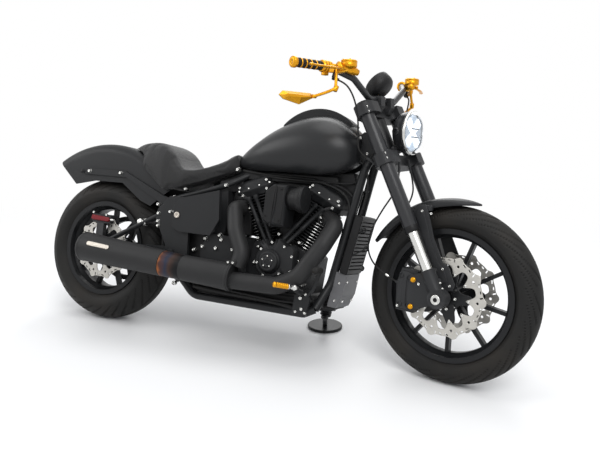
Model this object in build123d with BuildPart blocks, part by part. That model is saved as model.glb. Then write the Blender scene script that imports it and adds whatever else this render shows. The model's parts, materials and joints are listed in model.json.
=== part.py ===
from build123d import *
from math import atan2, cos, degrees, pi, radians, sin, sqrt, tan
import os

# Cruiser motorcycle, parked on its side stand with the steering a little to the right.
# Every piece is drawn on the upright machine: origin on the ground under the rear axle, +X forward,
# +Y to the left, +Z up, millimetres. The last section turns the steered pieces, leans the whole
# machine on its stand and moves the origin to the bottom centre of its bounding box.
os.makedirs("parts", exist_ok=True)

# Overall geometry
wheelbase = 1615.0
rake = 28.0  # steering axis from the vertical, degrees
fork_offset = 32.0  # axle ahead of the steering axis
lean = 14.0  # on the side stand, degrees to the left
steer = -12.85  # steering as parked, degrees, positive to the left

# Wheels
front_tyre_radius = 340.5
front_tyre_width = 110.0
front_bulge_radius = 292.0  # where the front tyre is widest
front_bead_radius = 241.5
front_bead_half = 38.0
front_flange_radius = 254.0
rear_tyre_radius = 329.0
rear_tyre_width = 180.0
rear_bulge_radius = 264.4
rear_bead_radius = 203.5
rear_bead_half = 66.0
rear_flange_radius = 217.0
seat_gap = 0.3  # tyre to rim
flange_wall = 6.0
well_depth = 15.0
rim_wall = 7.0
spoke_count = 9
spoke_width = 15.0
spoke_half_depth = 13.0
hub_radius = 44.0
axle_radius = 12.5
running_gap = 0.05  # shaft in its bore, on the radius
axle_bore = 8.0

# Brakes
disc_thickness = 5.0
front_disc_radius = 160.0
front_disc_inner = 124.0
front_disc_place = 68.0  # disc plane from the centre plane
rear_disc_radius = 146.0
rear_disc_inner = 108.0
rear_disc_place = 76.0
disc_lobes = 10
carrier_thickness = 6.0
pad_gap = 5.0  # disc to caliper, each side
front_hub_half = front_disc_place - disc_thickness / 2 - carrier_thickness
rear_hub_half = rear_disc_place - disc_thickness / 2 - carrier_thickness

# Fork, by distance along the steering direction from the front axle
leg_spacing = 124.0  # each leg from the centre plane
leg_radius = 28.0
leg_end_radius = 24.0
leg_bottom = 272.0
leg_top = 799.0
leg_taper = 14.0
slider_radius = 21.5
lug_top = 112.0
lug_radius = 27.0
axle_boss_radius = 35.0
axle_boss_half = 27.0
lower_clamp_bottom = 538.0
upper_clamp_bottom = 748.0
clamp_thickness = 46.0
clamp_ring = 13.0  # metal around each leg
web_front = 4.0  # front edge of a clamp between the legs
stem_radius = 15.0
neck_radius = 34.0
neck_end_gap = 2.0

# Engine
crank_x = 905.0
crank_z = 292.0
front_cylinder_lean = 25.0
rear_cylinder_lean = 21.0
deck_height = 182.0  # crank to the foot of a cylinder
barrel_length = 190.0
barrel_half_width = 82.0
barrel_half_depth = 66.0
barrel_core = 54.0
fin_count = 13
fin_thickness = 4.0
rocker_height = 80.0
rocker_half_width = 86.0
rocker_half_depth = 92.0
crankcase_half_width = 105.0
crankcase_bottom = 216.0
gearbox_bottom = 262.0
gearbox_top = 458.0

# Frame tubes
rail_radius = 16.0
rail_half = 142.0
rail_height = 192.0
downtube_radius = 17.0
backbone_radius = 30.0
seat_rail_radius = 12.0
pivot_x = 433.0
pivot_z = 357.0
arm_thickness = 30.0
right_arm_place = 112.0  # inner face of each swingarm leg from the centre plane
left_arm_place = 124.0
arm_depth = 58.0
plate_thickness = 16.0
plate_gap = 2.0  # swingarm to the frame plates
pivot_bolt_radius = 12.0
arm_tail = 46.0  # swingarm behind the axle
arm_head = 30.0  # and ahead of its pivot
arm_knee = 110.0  # where each leg starts to taper, from the axle
crossmember_radius = 28.0
strut_radius = 11.0
brace_radius = 10.0
engine_mount_half = 40.0

# Belt drive
pulley_radius = 147.0
gearbox_pulley_radius = 71.0
gearbox_shaft_x = 586.0
gearbox_shaft_z = 352.0
belt_inner = 95.0  # inner edge from the centre plane
belt_width = 22.0
belt_thickness = 7.0
belt_gap = 0.5

# Bodywork
fender_crown_radius = 485.0
fender_half = 106.0
fender_wall = 5.0
fender_round = 46.0
front_fender_radius = 366.0
front_fender_half = 66.0
front_fender_wall = 4.0
front_fender_round = 30.0
console_half = 44.0
muffler_y = -236.0
pipe_radius = 35.0
rear_pipe_radius = 33.0

# Controls
bar_radius = 12.7
grip_radius = 18.0
lamp_radius = 86.0
gauge_radius = 56.0

# Side stand
stand_pivot = Vector(1052.0, 156.0, 160.0)
stand_foot_x = 990.0  # on the ground, from the lowest point of the rear wheel's centre plane
stand_foot_y = 345.0
stand_foot_radius = 80.0
stand_foot_thickness = 14.0
stand_axis = Vector(0.0, 0.54, 0.84).normalized()
stand_leg_radius = 11.0
stand_boss_radius = 16.0
stand_boss_length = 16.0
stand_pin_radius = 6.0
stand_bracket_radius = 24.0
stand_bracket_length = 18.0

rear_hub = Vector(0, 0, rear_tyre_radius)
front_hub = Vector(wheelbase, 0, front_tyre_radius)
steering_up = Vector(-sin(radians(rake)), 0, cos(radians(rake)))
fork_forward = Vector(cos(radians(rake)), 0, sin(radians(rake)))
steering_foot = front_hub - fork_forward * fork_offset
across = Vector(0, 1, 0)


def fork_plane(height):
    """Plane square to the steering axis: x forward, y left, origin between the fork legs."""
    return Plane(front_hub + steering_up * height, x_dir=fork_forward, z_dir=steering_up)


def wheel_section(hub):
    """Plane through a hub that holds the wheel's cross-section: x to the left, y outwards."""
    return Plane(hub, x_dir=(0, 1, 0), z_dir=(1, 0, 0))


def side_plane(hub, left=0.0):
    """Vertical plane along the machine, seen from the right: x forward, y up, normal to the right."""
    return Plane(hub + across * left, x_dir=(1, 0, 0), z_dir=(0, -1, 0))


def side_at(left):
    """Side plane in the machine's own coordinates at a distance to the left."""
    return side_plane(Vector(0, 0, 0), left)


def swept_tube(points, radii, radius):
    """Round tube along straight runs joined by tangent arcs."""
    with BuildLine() as route:
        FilletPolyline(*points, radius=radii)
    with BuildSketch(Plane(route.line @ 0, z_dir=route.line % 0)) as section:
        Circle(radius)
    sweep(section.sketch, path=route.line)


def straight_tube(start, end, radius, end_radius=None):
    """Round bar or cone between two points."""
    start, end = Vector(*start), Vector(*end)
    run = end - start
    with BuildSketch(Plane(start, z_dir=run)) as first:
        Circle(radius)
    if end_radius is None:
        extrude(first.sketch, amount=run.length)
    else:
        with BuildSketch(Plane(end, z_dir=run)) as last:
            Circle(end_radius)
        loft(sections=[first.sketch, last.sketch])


def tyre_ring(hub, radius, width, bulge_radius, bead_radius, bead_half, flange_radius):
    """Tyre as a ring: one crown arc, two sidewall arcs, and its beads between the rim flanges."""
    bead_top = flange_radius + 2
    with BuildSketch(wheel_section(hub)) as section:
        with BuildLine():
            ThreePointArc((-width / 2, bulge_radius), (0, radius), (width / 2, bulge_radius))
            TangentArc((width / 2, bulge_radius), (bead_half, bead_top), tangent=(0, -1))
            Polyline(
                (bead_half, bead_top),
                (bead_half, bead_radius),
                (-bead_half, bead_radius),
                (-bead_half, bead_top),
            )
            TangentArc((-width / 2, bulge_radius), (-bead_half, bead_top), tangent=(0, -1))
        make_face()
    revolve(section.sketch, axis=Axis(hub, (0, 1, 0)))


def rim_with_spokes(hub, bead_radius, bead_half, flange_radius, hub_half, first_spoke):
    """Cast wheel: rim with a drop centre, straight spokes and a bored hub."""
    seat = bead_radius - seat_gap
    lip = bead_half + seat_gap
    well = bead_half * 0.5
    slope = 8.0
    outside = [
        (lip + flange_wall, flange_radius),
        (lip, flange_radius),
        (lip, seat),
        (well + slope, seat),
        (well, seat - well_depth),
    ]
    inside = [
        (well - slope / 2, seat - well_depth - rim_wall),
        (well + slope * 1.5, seat - rim_wall),
        (lip + flange_wall, seat - rim_wall),
    ]
    mirrored = [(-x, y) for x, y in reversed(outside)]
    mirrored_inside = [(-x, y) for x, y in reversed(inside)]
    with BuildSketch(wheel_section(hub)) as section:
        with BuildLine():
            Polyline(*outside, *mirrored, *mirrored_inside, *inside, close=True)
        make_face()
    revolve(section.sketch, axis=Axis(hub, (0, 1, 0)))
    spoke_outer = seat - well_depth - rim_wall / 2
    spoke_inner = hub_radius - 6
    with BuildSketch(side_plane(hub)) as spokes:
        with PolarLocations((spoke_outer + spoke_inner) / 2, spoke_count, start_angle=first_spoke):
            Rectangle(spoke_outer - spoke_inner, spoke_width)
    extrude(spokes.sketch, amount=spoke_half_depth, both=True)
    with BuildSketch(side_plane(hub)) as barrel:
        Circle(hub_radius)
    extrude(barrel.sketch, amount=hub_half, both=True)
    with BuildSketch(side_plane(hub)) as bore:
        Circle(axle_radius + running_gap)
    extrude(bore.sketch, amount=hub_half, both=True, mode=Mode.SUBTRACT)


def wave_disc(hub, left, radius, inner_radius):
    """Brake disc with a lobed edge, slots and mounting tabs."""
    lobe_radius = radius * 0.17
    tab_radius = 9.0
    slot_width = 4.5
    with BuildSketch(side_plane(hub, left + disc_thickness / 2)) as outline:
        Circle(radius - lobe_radius * 0.3)
        with PolarLocations(radius - lobe_radius, disc_lobes):
            Circle(lobe_radius)
        Circle(inner_radius, mode=Mode.SUBTRACT)
        with PolarLocations(inner_radius - tab_radius * 0.4, disc_lobes):
            Circle(tab_radius)
        with PolarLocations(inner_radius - tab_radius * 0.4, disc_lobes):
            Circle(3.0, mode=Mode.SUBTRACT)
        with PolarLocations((radius + inner_radius) / 2, disc_lobes, start_angle=10):
            SlotOverall(radius - inner_radius - 12, slot_width, rotation=28, mode=Mode.SUBTRACT)
    extrude(outline.sketch, amount=disc_thickness)


def disc_carrier(hub, left, inner_radius, towards):
    """Star that holds a disc on its hub; it lies against the disc's tabs on the wheel's side."""
    arm_width = 16.0
    reach = inner_radius + 1
    with BuildSketch(side_plane(hub, left)) as star:
        Circle(hub_radius + 10)
        with PolarLocations(reach / 2, disc_lobes):
            Rectangle(reach, arm_width)
        Circle(axle_boss_radius, mode=Mode.SUBTRACT)
    extrude(star.sketch, amount=towards * carrier_thickness)


def clamp_plate(bottom, ring):
    """Fork clamp: a web between the two legs and the steering stem, bored for all three."""
    with BuildSketch(fork_plane(bottom)) as plate:
        with Locations((0, leg_spacing), (0, -leg_spacing)):
            Circle(leg_radius + ring)
        with Locations((-fork_offset, 0)):
            Circle(stem_radius + ring + 12)
        make_hull()
        with Locations((0, leg_spacing), (0, -leg_spacing)):
            Circle(leg_radius, mode=Mode.SUBTRACT)
        with Locations((-fork_offset, 0)):
            Circle(stem_radius, mode=Mode.SUBTRACT)
        relief = 2 * (ring + leg_radius - web_front)  # cut from the front edge back to the web
        with Locations((ring + leg_radius, 0)):
            RectangleRounded(relief, 2 * leg_spacing - 90, 20, mode=Mode.SUBTRACT)
    extrude(plate.sketch, amount=clamp_thickness)


def crowned_channel(hub, crown_radius, half, depth, rounding, wall, first_angle, arc):
    """Fender shell: an upturned channel with rounded shoulders, turned about the wheel's axle."""
    outer = [(half, crown_radius - depth), (half, crown_radius)]
    outer += [(-half, crown_radius), (-half, crown_radius - depth)]
    inner = [(-half + wall, crown_radius - depth), (-half + wall, crown_radius - wall)]
    inner += [(half - wall, crown_radius - wall), (half - wall, crown_radius - depth)]
    with BuildSketch(wheel_section(hub)) as section:
        with BuildLine():
            FilletPolyline(*outer, radius=rounding)
            Line(outer[-1], inner[0])
            FilletPolyline(*inner, radius=rounding - wall)
            Line(inner[-1], outer[0])
        make_face()
    start = section.sketch.rotate(Axis(hub, (0, 1, 0)), 90 - first_angle)
    revolve(start, axis=Axis(hub, (0, 1, 0)), revolution_arc=arc)


def both_sides():
    """Copy what is drawn on one side to the other."""
    mirror(about=Plane.XZ)


# Front wheel
with BuildPart() as front_tyre:
    tyre_ring(
        front_hub,
        front_tyre_radius,
        front_tyre_width,
        front_bulge_radius,
        front_bead_radius,
        front_bead_half,
        front_flange_radius,
    )
front_tyre.part.label = "front_tyre"

with BuildPart() as front_rim:
    rim_with_spokes(
        front_hub, front_bead_radius, front_bead_half, front_flange_radius, front_hub_half, -89.5
    )
front_rim.part.label = "front_rim"

front_carrier_place = front_disc_place - disc_thickness / 2
with BuildPart() as front_discs:
    wave_disc(front_hub, front_disc_place, front_disc_radius, front_disc_inner)
    disc_carrier(front_hub, front_carrier_place, front_disc_inner, 1)
    wave_disc(front_hub, -front_disc_place, front_disc_radius, front_disc_inner)
    disc_carrier(front_hub, -front_carrier_place, front_disc_inner, -1)
front_discs.part.label = "front_discs"

# Rear wheel
with BuildPart() as rear_tyre:
    tyre_ring(
        rear_hub,
        rear_tyre_radius,
        rear_tyre_width,
        rear_bulge_radius,
        rear_bead_radius,
        rear_bead_half,
        rear_flange_radius,
    )
rear_tyre.part.label = "rear_tyre"

with BuildPart() as rear_rim:
    rim_with_spokes(rear_hub, rear_bead_radius, rear_bead_half, rear_flange_radius, rear_hub_half, -70)
rear_rim.part.label = "rear_rim"

with BuildPart() as rear_disc:
    wave_disc(rear_hub, -rear_disc_place, rear_disc_radius, rear_disc_inner)
    disc_carrier(rear_hub, -rear_disc_place + disc_thickness / 2, rear_disc_inner, -1)
rear_disc.part.label = "rear_disc"

with BuildPart() as rear_pulley:
    with BuildSketch(side_plane(rear_hub, belt_inner + belt_width)):
        Circle(pulley_radius)
        Circle(pulley_radius - 16, mode=Mode.SUBTRACT)
        with PolarLocations(pulley_radius / 2, 5):
            Rectangle(pulley_radius - 10, 26)
        Circle(hub_radius + 8)
        Circle(axle_radius + running_gap, mode=Mode.SUBTRACT)
    extrude(amount=belt_width)
    with BuildSketch(side_plane(rear_hub, belt_inner)):
        Circle(hub_radius)
        Circle(axle_radius + running_gap, mode=Mode.SUBTRACT)
    extrude(amount=belt_inner - rear_hub_half)
rear_pulley.part.label = "rear_pulley"

# Rear suspension
with BuildPart() as rear_axle:
    straight_tube(
        (0, -right_arm_place - arm_thickness - 10, rear_tyre_radius),
        (0, left_arm_place + arm_thickness + 10, rear_tyre_radius),
        axle_radius,
    )
rear_axle.part.label = "rear_axle"

arm_places = ((-right_arm_place, 1), (left_arm_place + arm_thickness, 1))  # outer-left face, direction
with BuildPart() as swingarm_arms:
    for face_left, direction in arm_places:
        with BuildSketch(side_at(face_left)):
            with BuildLine():
                Polyline(
                    (-arm_tail, rear_tyre_radius - arm_depth / 2),
                    (-arm_tail, rear_tyre_radius + arm_depth / 2),
                    (arm_knee, rear_tyre_radius + arm_depth / 2 + 6),
                    (pivot_x + arm_head, pivot_z + arm_depth / 2),
                    (pivot_x + arm_head, pivot_z - arm_depth / 2),
                    (arm_knee, rear_tyre_radius - arm_depth / 2),
                    close=True,
                )
            make_face()
            with Locations((0, rear_tyre_radius)):
                Circle(axle_radius, mode=Mode.SUBTRACT)
            with Locations((pivot_x, pivot_z)):
                Circle(pivot_bolt_radius + running_gap, mode=Mode.SUBTRACT)
        extrude(amount=direction * arm_thickness)
swingarm_arms.part.label = "swingarm_arms"

right_plate_place = right_arm_place + arm_thickness + plate_gap  # inner faces of the frame plates
left_plate_place = left_arm_place + arm_thickness + plate_gap
bolt_head = 8.0
with BuildPart() as swingarm_crossmember:
    with BuildSketch(side_at(left_arm_place)):
        with Locations((pivot_x, pivot_z)):
            Circle(crossmember_radius)
    extrude(amount=left_arm_place + right_arm_place)
    with BuildSketch(side_at(left_plate_place + plate_thickness)):
        with Locations((pivot_x, pivot_z)):
            Circle(pivot_bolt_radius)
    extrude(amount=left_plate_place + right_plate_place + 2 * plate_thickness)
    with BuildSketch(side_at(left_plate_place + plate_thickness + bolt_head)):
        with Locations((pivot_x, pivot_z)):
            RegularPolygon(pivot_bolt_radius * 1.5, 6)
    extrude(amount=bolt_head)
    with BuildSketch(side_at(-right_plate_place - plate_thickness)):
        with Locations((pivot_x, pivot_z)):
            RegularPolygon(pivot_bolt_radius * 1.5, 6)
    extrude(amount=bolt_head)
swingarm_crossmember.part.label = "swingarm_crossmember"

strut_low = (46, rear_tyre_radius + arm_depth / 2)
strut_high = (330, 512)
with BuildPart() as swingarm_struts:
    for face_left, direction in arm_places:
        middle = face_left - arm_thickness / 2
        low_end = Vector(strut_low[0], middle, strut_low[1])
        high_end = Vector(strut_high[0], middle, strut_high[1])
        straight_tube(low_end, high_end, strut_radius)
        straight_tube(high_end + Vector(-4, 0, -14), (pivot_x - 30, middle, pivot_z + 26), brace_radius)
    add(swingarm_arms.part, mode=Mode.SUBTRACT)
swingarm_struts.part.label = "swingarm_struts"

# Frame
neck_start = lower_clamp_bottom + clamp_thickness + neck_end_gap
neck_end = upper_clamp_bottom - neck_end_gap
with BuildPart() as neck_solid:
    with BuildSketch(fork_plane(neck_start)):
        with Locations((-fork_offset, 0)):
            Circle(neck_radius)
    extrude(amount=neck_end - neck_start)

with BuildPart() as frame_backbone:
    swept_tube(
        [(1268, 0, 892), (1110, 0, 838), (800, 0, 800), (640, 0, 716), (520, 0, 690)],
        [120, 260, 160],
        backbone_radius,
    )
    add(neck_solid.part)
    with BuildSketch(fork_plane(neck_start)):
        with Locations((-fork_offset, 0)):
            Circle(stem_radius + running_gap)
    extrude(amount=neck_end - neck_start, mode=Mode.SUBTRACT)
frame_backbone.part.label = "frame_backbone"

with BuildPart() as frame_rails:
    swept_tube(
        [
            (1112, -rail_half + 12, 214),
            (1072, -rail_half, rail_height),
            (560, -rail_half, rail_height),
            (486, -rail_half, 262),
        ],
        [40, 70],
        rail_radius,
    )
    both_sides()
    for x, engine_bottom in ((700, gearbox_bottom), (crank_x + 60, crankcase_bottom)):
        straight_tube((x, -rail_half, rail_height), (x, rail_half, rail_height), rail_radius)
        with BuildSketch(side_at(engine_mount_half)):
            with BuildLine():
                Polyline(
                    (x - 30, rail_height),
                    (x + 30, rail_height),
                    (x + 20, engine_bottom),
                    (x - 20, engine_bottom),
                    close=True,
                )
            make_face()
        extrude(amount=2 * engine_mount_half)
frame_rails.part.label = "frame_rails"

with BuildPart() as frame_downtubes:
    swept_tube(
        [(1262, -20, 872), (1229, -56, 790), (1145, -70, 318), (1112, -rail_half + 12, 214)],
        [120, 90],
        downtube_radius,
    )
    both_sides()
    add(frame_backbone.part, mode=Mode.SUBTRACT)
    add(frame_rails.part, mode=Mode.SUBTRACT)
    add(neck_solid.part, mode=Mode.SUBTRACT)
frame_downtubes.part.label = "frame_downtubes"

with BuildPart() as frame_plates:
    for face_left in (-right_plate_place, left_plate_place + plate_thickness):
        with BuildSketch(side_at(face_left)):
            with BuildLine():
                Polyline(
                    (478, 236),
                    (520, 262),
                    (512, 420),
                    (500, 600),
                    (400, 600),
                    (344, 540),
                    (336, 500),
                    (pivot_x - 34, pivot_z + 34),
                    (pivot_x - 26, pivot_z - 30),
                    close=True,
                )
            make_face()
            with Locations((pivot_x, pivot_z)):
                Circle(pivot_bolt_radius + running_gap, mode=Mode.SUBTRACT)
        extrude(amount=plate_thickness)
    add(frame_rails.part, mode=Mode.SUBTRACT)
frame_plates.part.label = "frame_plates"

with BuildPart() as seat_rails:
    swept_tube(
        [(404, -132, 590), (520, -122, 626), (640, -112, 668), (716, -60, 722), (744, -14, 742)],
        [200, 150, 70],
        seat_rail_radius,
    )
    both_sides()
    add(frame_backbone.part, mode=Mode.SUBTRACT)
    add(frame_plates.part, mode=Mode.SUBTRACT)
seat_rails.part.label = "seat_rails"

# Engine
crank = Vector(crank_x, 0, crank_z)


def cylinder_plane(tilt, height):
    """Plane square to a cylinder's axis at a height above the crank: x forward, y left."""
    axis = Vector(sin(radians(tilt)), 0, cos(radians(tilt)))
    return Plane(crank + axis * height, x_dir=(cos(radians(tilt)), 0, -sin(radians(tilt))), z_dir=axis)


cylinder_tilts = (front_cylinder_lean, -rear_cylinder_lean)
barrel_top = deck_height + barrel_length

with BuildPart() as crankcase:
    with BuildSketch(side_at(crankcase_half_width)):
        with BuildLine():
            Polyline(
                (crank_x - 104, crankcase_bottom),
                (crank_x - 118, gearbox_bottom),
                (crank_x - 118, 360),
                (crank_x - 104, 462),
                (crank_x, 444),
                (crank_x + 100, 458),
                (crank_x + 150, 408),
                (crank_x + 138, 240),
                (crank_x + 100, crankcase_bottom),
                close=True,
            )
        make_face()
    extrude(amount=2 * crankcase_half_width)
    for tilt in cylinder_tilts:
        with BuildSketch(cylinder_plane(tilt, barrel_top)):
            Rectangle(400, 400)
        extrude(amount=-barrel_top + deck_height, mode=Mode.SUBTRACT)
crankcase.part.label = "crankcase"

with BuildPart() as cylinders:
    for tilt in cylinder_tilts:
        with BuildSketch(cylinder_plane(tilt, deck_height)):
            RectangleRounded(2 * barrel_core, 2 * barrel_core, 30)
        extrude(amount=barrel_length)
        fin_pitch = (barrel_length - fin_thickness) / (fin_count - 1)
        for level in range(fin_count):
            with BuildSketch(cylinder_plane(tilt, deck_height + level * fin_pitch)):
                RectangleRounded(2 * barrel_half_depth, 2 * barrel_half_width, 36)
            extrude(amount=fin_thickness)
cylinders.part.label = "cylinders"

with BuildPart() as rocker_covers:
    for tilt in cylinder_tilts:
        with BuildSketch(cylinder_plane(tilt, barrel_top)):
            RectangleRounded(2 * rocker_half_depth, 2 * rocker_half_width, 30)
        extrude(amount=rocker_height, taper=8)
    add(seat_rails.part, mode=Mode.SUBTRACT)
rocker_covers.part.label = "rocker_covers"

pushrod_tube_radius = 9.0
pushrod_foot_pitch = 13.0  # half the distance between a cylinder's two tubes, below and above
pushrod_head_pitch = 17.0
cam_x = 903.0
cam_z = 379.0
cam_radius = 64.0
cam_depth = 52.0
cam_lid_radius = 46.0
cam_lid_depth = 20.0
with BuildPart() as timing_cover:
    with BuildSketch(side_at(-crankcase_half_width)):
        with Locations((cam_x, cam_z)):
            Circle(cam_radius)
        with Locations((cam_x + 78, cam_z + 46), (cam_x + 84, cam_z - 26)):
            Circle(24)
        with Locations((cam_x - 34, cam_z + 62)):
            Circle(22)
        make_hull()
    extrude(amount=cam_depth)
    with BuildSketch(side_at(-crankcase_half_width - cam_depth)):
        with Locations((cam_x, cam_z)):
            Circle(cam_lid_radius)
    extrude(amount=cam_lid_depth)
    for foot_x, tilt, spread in ((-26, -rear_cylinder_lean, 6), (30, front_cylinder_lean, -6)):
        for step in (-1, 1):
            foot_place = cam_x + foot_x + step * pushrod_foot_pitch
            foot = Vector(foot_place, -crankcase_half_width - 12, cam_z + 70)
            top = cylinder_plane(tilt, barrel_top - 2)
            head = top.from_local_coords((step * pushrod_head_pitch - spread * 2, 0, 0))
            head = Vector(head.X, -barrel_half_width - 12, head.Z)
            straight_tube(tuple(foot), tuple(head), pushrod_tube_radius)
    add(rocker_covers.part, mode=Mode.SUBTRACT)
    add(cylinders.part, mode=Mode.SUBTRACT)
timing_cover.part.label = "timing_cover"

gearbox_left = 90.0  # its two side faces from the centre plane
gearbox_right = 128.0
with BuildPart() as gearbox:
    with BuildSketch(side_at(gearbox_left)):
        with BuildLine():
            Polyline(
                (560, gearbox_bottom),
                (560, 400),
                (590, gearbox_top),
                (764, gearbox_top),
                (crank_x - 118, 360),
                (crank_x - 118, gearbox_bottom),
                close=True,
            )
        make_face()
    extrude(amount=gearbox_left + gearbox_right)
    with BuildSketch(side_at(belt_inner + belt_width)):
        with Locations((gearbox_shaft_x, gearbox_shaft_z)):
            Circle(gearbox_pulley_radius)
    extrude(amount=belt_width + belt_inner - gearbox_left)
gearbox.part.label = "gearbox"

primary_gap = 6.0  # belt to cover
primary_lid = 60.0
primary_back = 14.0
primary_step = 8.0  # the back plate is this much smaller all round
primary_round = 16.0
primary_neck_radius = 84.0
primary_inner = belt_inner + belt_width + primary_gap
primary_outer = primary_inner + primary_lid + primary_back
primary_circles = ((crank_x + 14, crank_z + 22, 98), (gearbox_shaft_x + 110, crank_z + 34, 92))
with BuildPart() as primary_cover:
    for face_left, thickness, inset in (
        (primary_outer, primary_lid, 0),
        (primary_outer - primary_lid, primary_back, primary_step),
    ):
        with BuildSketch(side_at(face_left)):
            for x, z, radius in primary_circles:
                with Locations((x, z)):
                    Circle(radius - inset)
            make_hull()
        extrude(amount=thickness)
    fillet(primary_cover.faces().sort_by(Axis.Y)[-1].edges(), primary_round)
    with BuildSketch(side_at(primary_inner)):
        with Locations((crank_x, crank_z)):
            Circle(primary_neck_radius)
    extrude(amount=primary_inner - crankcase_half_width)
primary_cover.part.label = "primary_cover"

intake_inner = 96.0  # the air box stands off the cylinders, from the centre plane
intake_depth = 104.0
intake_round = 24.0
duct_radius = 42.0
duct_mouth_radius = 54.0
intake_neck_radius = 26.0
manifold_radius = 24.0
with BuildPart() as air_cleaner:
    with BuildSketch(side_at(-intake_inner)):
        with BuildLine():
            Polyline((866, 540), (868, 660), (900, 690), (962, 690), (962, 524), (900, 520), close=True)
        make_face()
    extrude(amount=intake_depth)
    fillet(air_cleaner.faces().sort_by(Axis.Y)[0].edges(), intake_round)
    straight_tube((962, -150, 638), (1004, -150, 640), duct_radius)
    straight_tube((1004, -150, 640), (1022, -150, 641), duct_radius, duct_mouth_radius)
    straight_tube((1022, -150, 641), (1030, -150, 641), duct_mouth_radius)
    straight_tube((912, -110, 606), (912, 0, 600), intake_neck_radius)
    straight_tube((820, 0, 600), (990, 0, 600), manifold_radius)
    add(cylinders.part, mode=Mode.SUBTRACT)
    add(rocker_covers.part, mode=Mode.SUBTRACT)
    add(timing_cover.part, mode=Mode.SUBTRACT)
air_cleaner.part.label = "air_cleaner"

# Exhaust
collector_front = (772, -206, 298)
collector_rear = (532, -224, 309)
muffler_front = (452, -229, 314)
muffler_rear = (34, muffler_y, 338)
collector_radius = 56.0
collector_end_radius = 53.0
muffler_radius = 64.0
muffler_front_radius = 55.0
muffler_bore_radius = 44.0
muffler_bore_depth = 40.0
link_radius = 52.0  # band between collector and muffler

with BuildPart() as exhaust_headers:
    swept_tube(
        [
            (1096, -56, 586),
            (1150, -110, 548),
            (1128, -156, 474),
            (1052, -192, 334),
            (970, -202, 290),
            (772, -206, 286),
        ],
        [30, 60, 90, 100],
        pipe_radius,
    )
    swept_tube(
        [
            (716, -60, 590),
            (704, -128, 574),
            (742, -170, 490),
            (792, -184, 396),
            (778, -190, 344),
        ],
        [24, 70, 60],
        rear_pipe_radius,
    )
    add(cylinders.part, mode=Mode.SUBTRACT)
    add(rocker_covers.part, mode=Mode.SUBTRACT)
exhaust_headers.part.label = "exhaust_headers"

with BuildPart() as exhaust_collector:
    straight_tube(collector_rear, collector_front, collector_end_radius, collector_radius)
    add(exhaust_headers.part, mode=Mode.SUBTRACT)
exhaust_collector.part.label = "exhaust_collector"

with BuildPart() as muffler:
    straight_tube(muffler_rear, muffler_front, muffler_radius, muffler_front_radius)
    with BuildSketch(Plane(muffler_rear, z_dir=Vector(*muffler_front) - Vector(*muffler_rear))):
        Circle(muffler_bore_radius)
    extrude(amount=muffler_bore_depth, mode=Mode.SUBTRACT)
    straight_tube(muffler_front, collector_rear, link_radius)
    add(exhaust_collector.part, mode=Mode.SUBTRACT)
muffler.part.label = "muffler"

# Fuel tank: sections square to the machine's length
tunnel_half = backbone_radius + 6.0
tank_sections = (
    # x, bottom, top, half width at the bottom, widest half width, its height, shoulder half width, height
    (640, 752, 790, 16, 30, 766, 18, 785),
    (736, 748, 877, 70, 104, 790, 62, 858),
    (850, 748, 950, 104, 142, 815, 86, 922),
    (960, 748, 990, 118, 160, 835, 92, 964),
    (1060, 750, 997, 118, 164, 850, 90, 974),
    (1140, 768, 968, 96, 146, 856, 76, 946),
    (1200, 806, 915, 56, 92, 862, 46, 902),
)
with BuildPart() as fuel_tank:
    for x, bottom, top, foot_half, side_half, side_height, shoulder_half, shoulder_height in tank_sections:
        with BuildSketch(Plane((x, 0, 0), x_dir=(0, 1, 0), z_dir=(1, 0, 0))):
            with BuildLine():
                Line((-foot_half, bottom), (foot_half, bottom))
                shoulder = (shoulder_half, shoulder_height)
                left_shoulder = (-shoulder_half, shoulder_height)
                ThreePointArc((foot_half, bottom), (side_half, side_height), shoulder)
                ThreePointArc(shoulder, (0, top), left_shoulder)
                ThreePointArc(left_shoulder, (-side_half, side_height), (-foot_half, bottom))
            make_face()
    loft()
    with BuildSketch(Plane.XZ.offset(-tunnel_half)):
        with BuildLine():
            Polyline((600, 700), (600, 800), (800, 842), (1110, 882), (1260, 930), (1260, 700), close=True)
        make_face()
    extrude(amount=2 * tunnel_half, mode=Mode.SUBTRACT)
fuel_tank.part.label = "fuel_tank"

with BuildPart() as tank_console:
    with BuildSketch(Plane.XZ.offset(-console_half)):
        with BuildLine():
            ThreePointArc((846, 948), (1030, 1022), (1152, 968))
            Polyline((1152, 968), (1140, 930), (846, 930), (846, 948))
        make_face()
    extrude(amount=2 * console_half)
    add(fuel_tank.part, mode=Mode.SUBTRACT)
tank_console.part.label = "tank_console"

# Rear fender: a crowned channel turned about the rear axle and trimmed to its side outline
fender_outline = (
    (-370, 784),
    (-172, 612),
    (-60, 636),
    (96, 638),
    (205, 566),
    (300, 534),
    (452, 560),
    (452, 900),
    (-370, 900),
)
with BuildPart() as fender_envelope:
    with BuildSketch(side_at(fender_half + 5)):
        with BuildLine():
            Polyline(*fender_outline, close=True)
        make_face()
    extrude(amount=2 * fender_half + 10)

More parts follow.
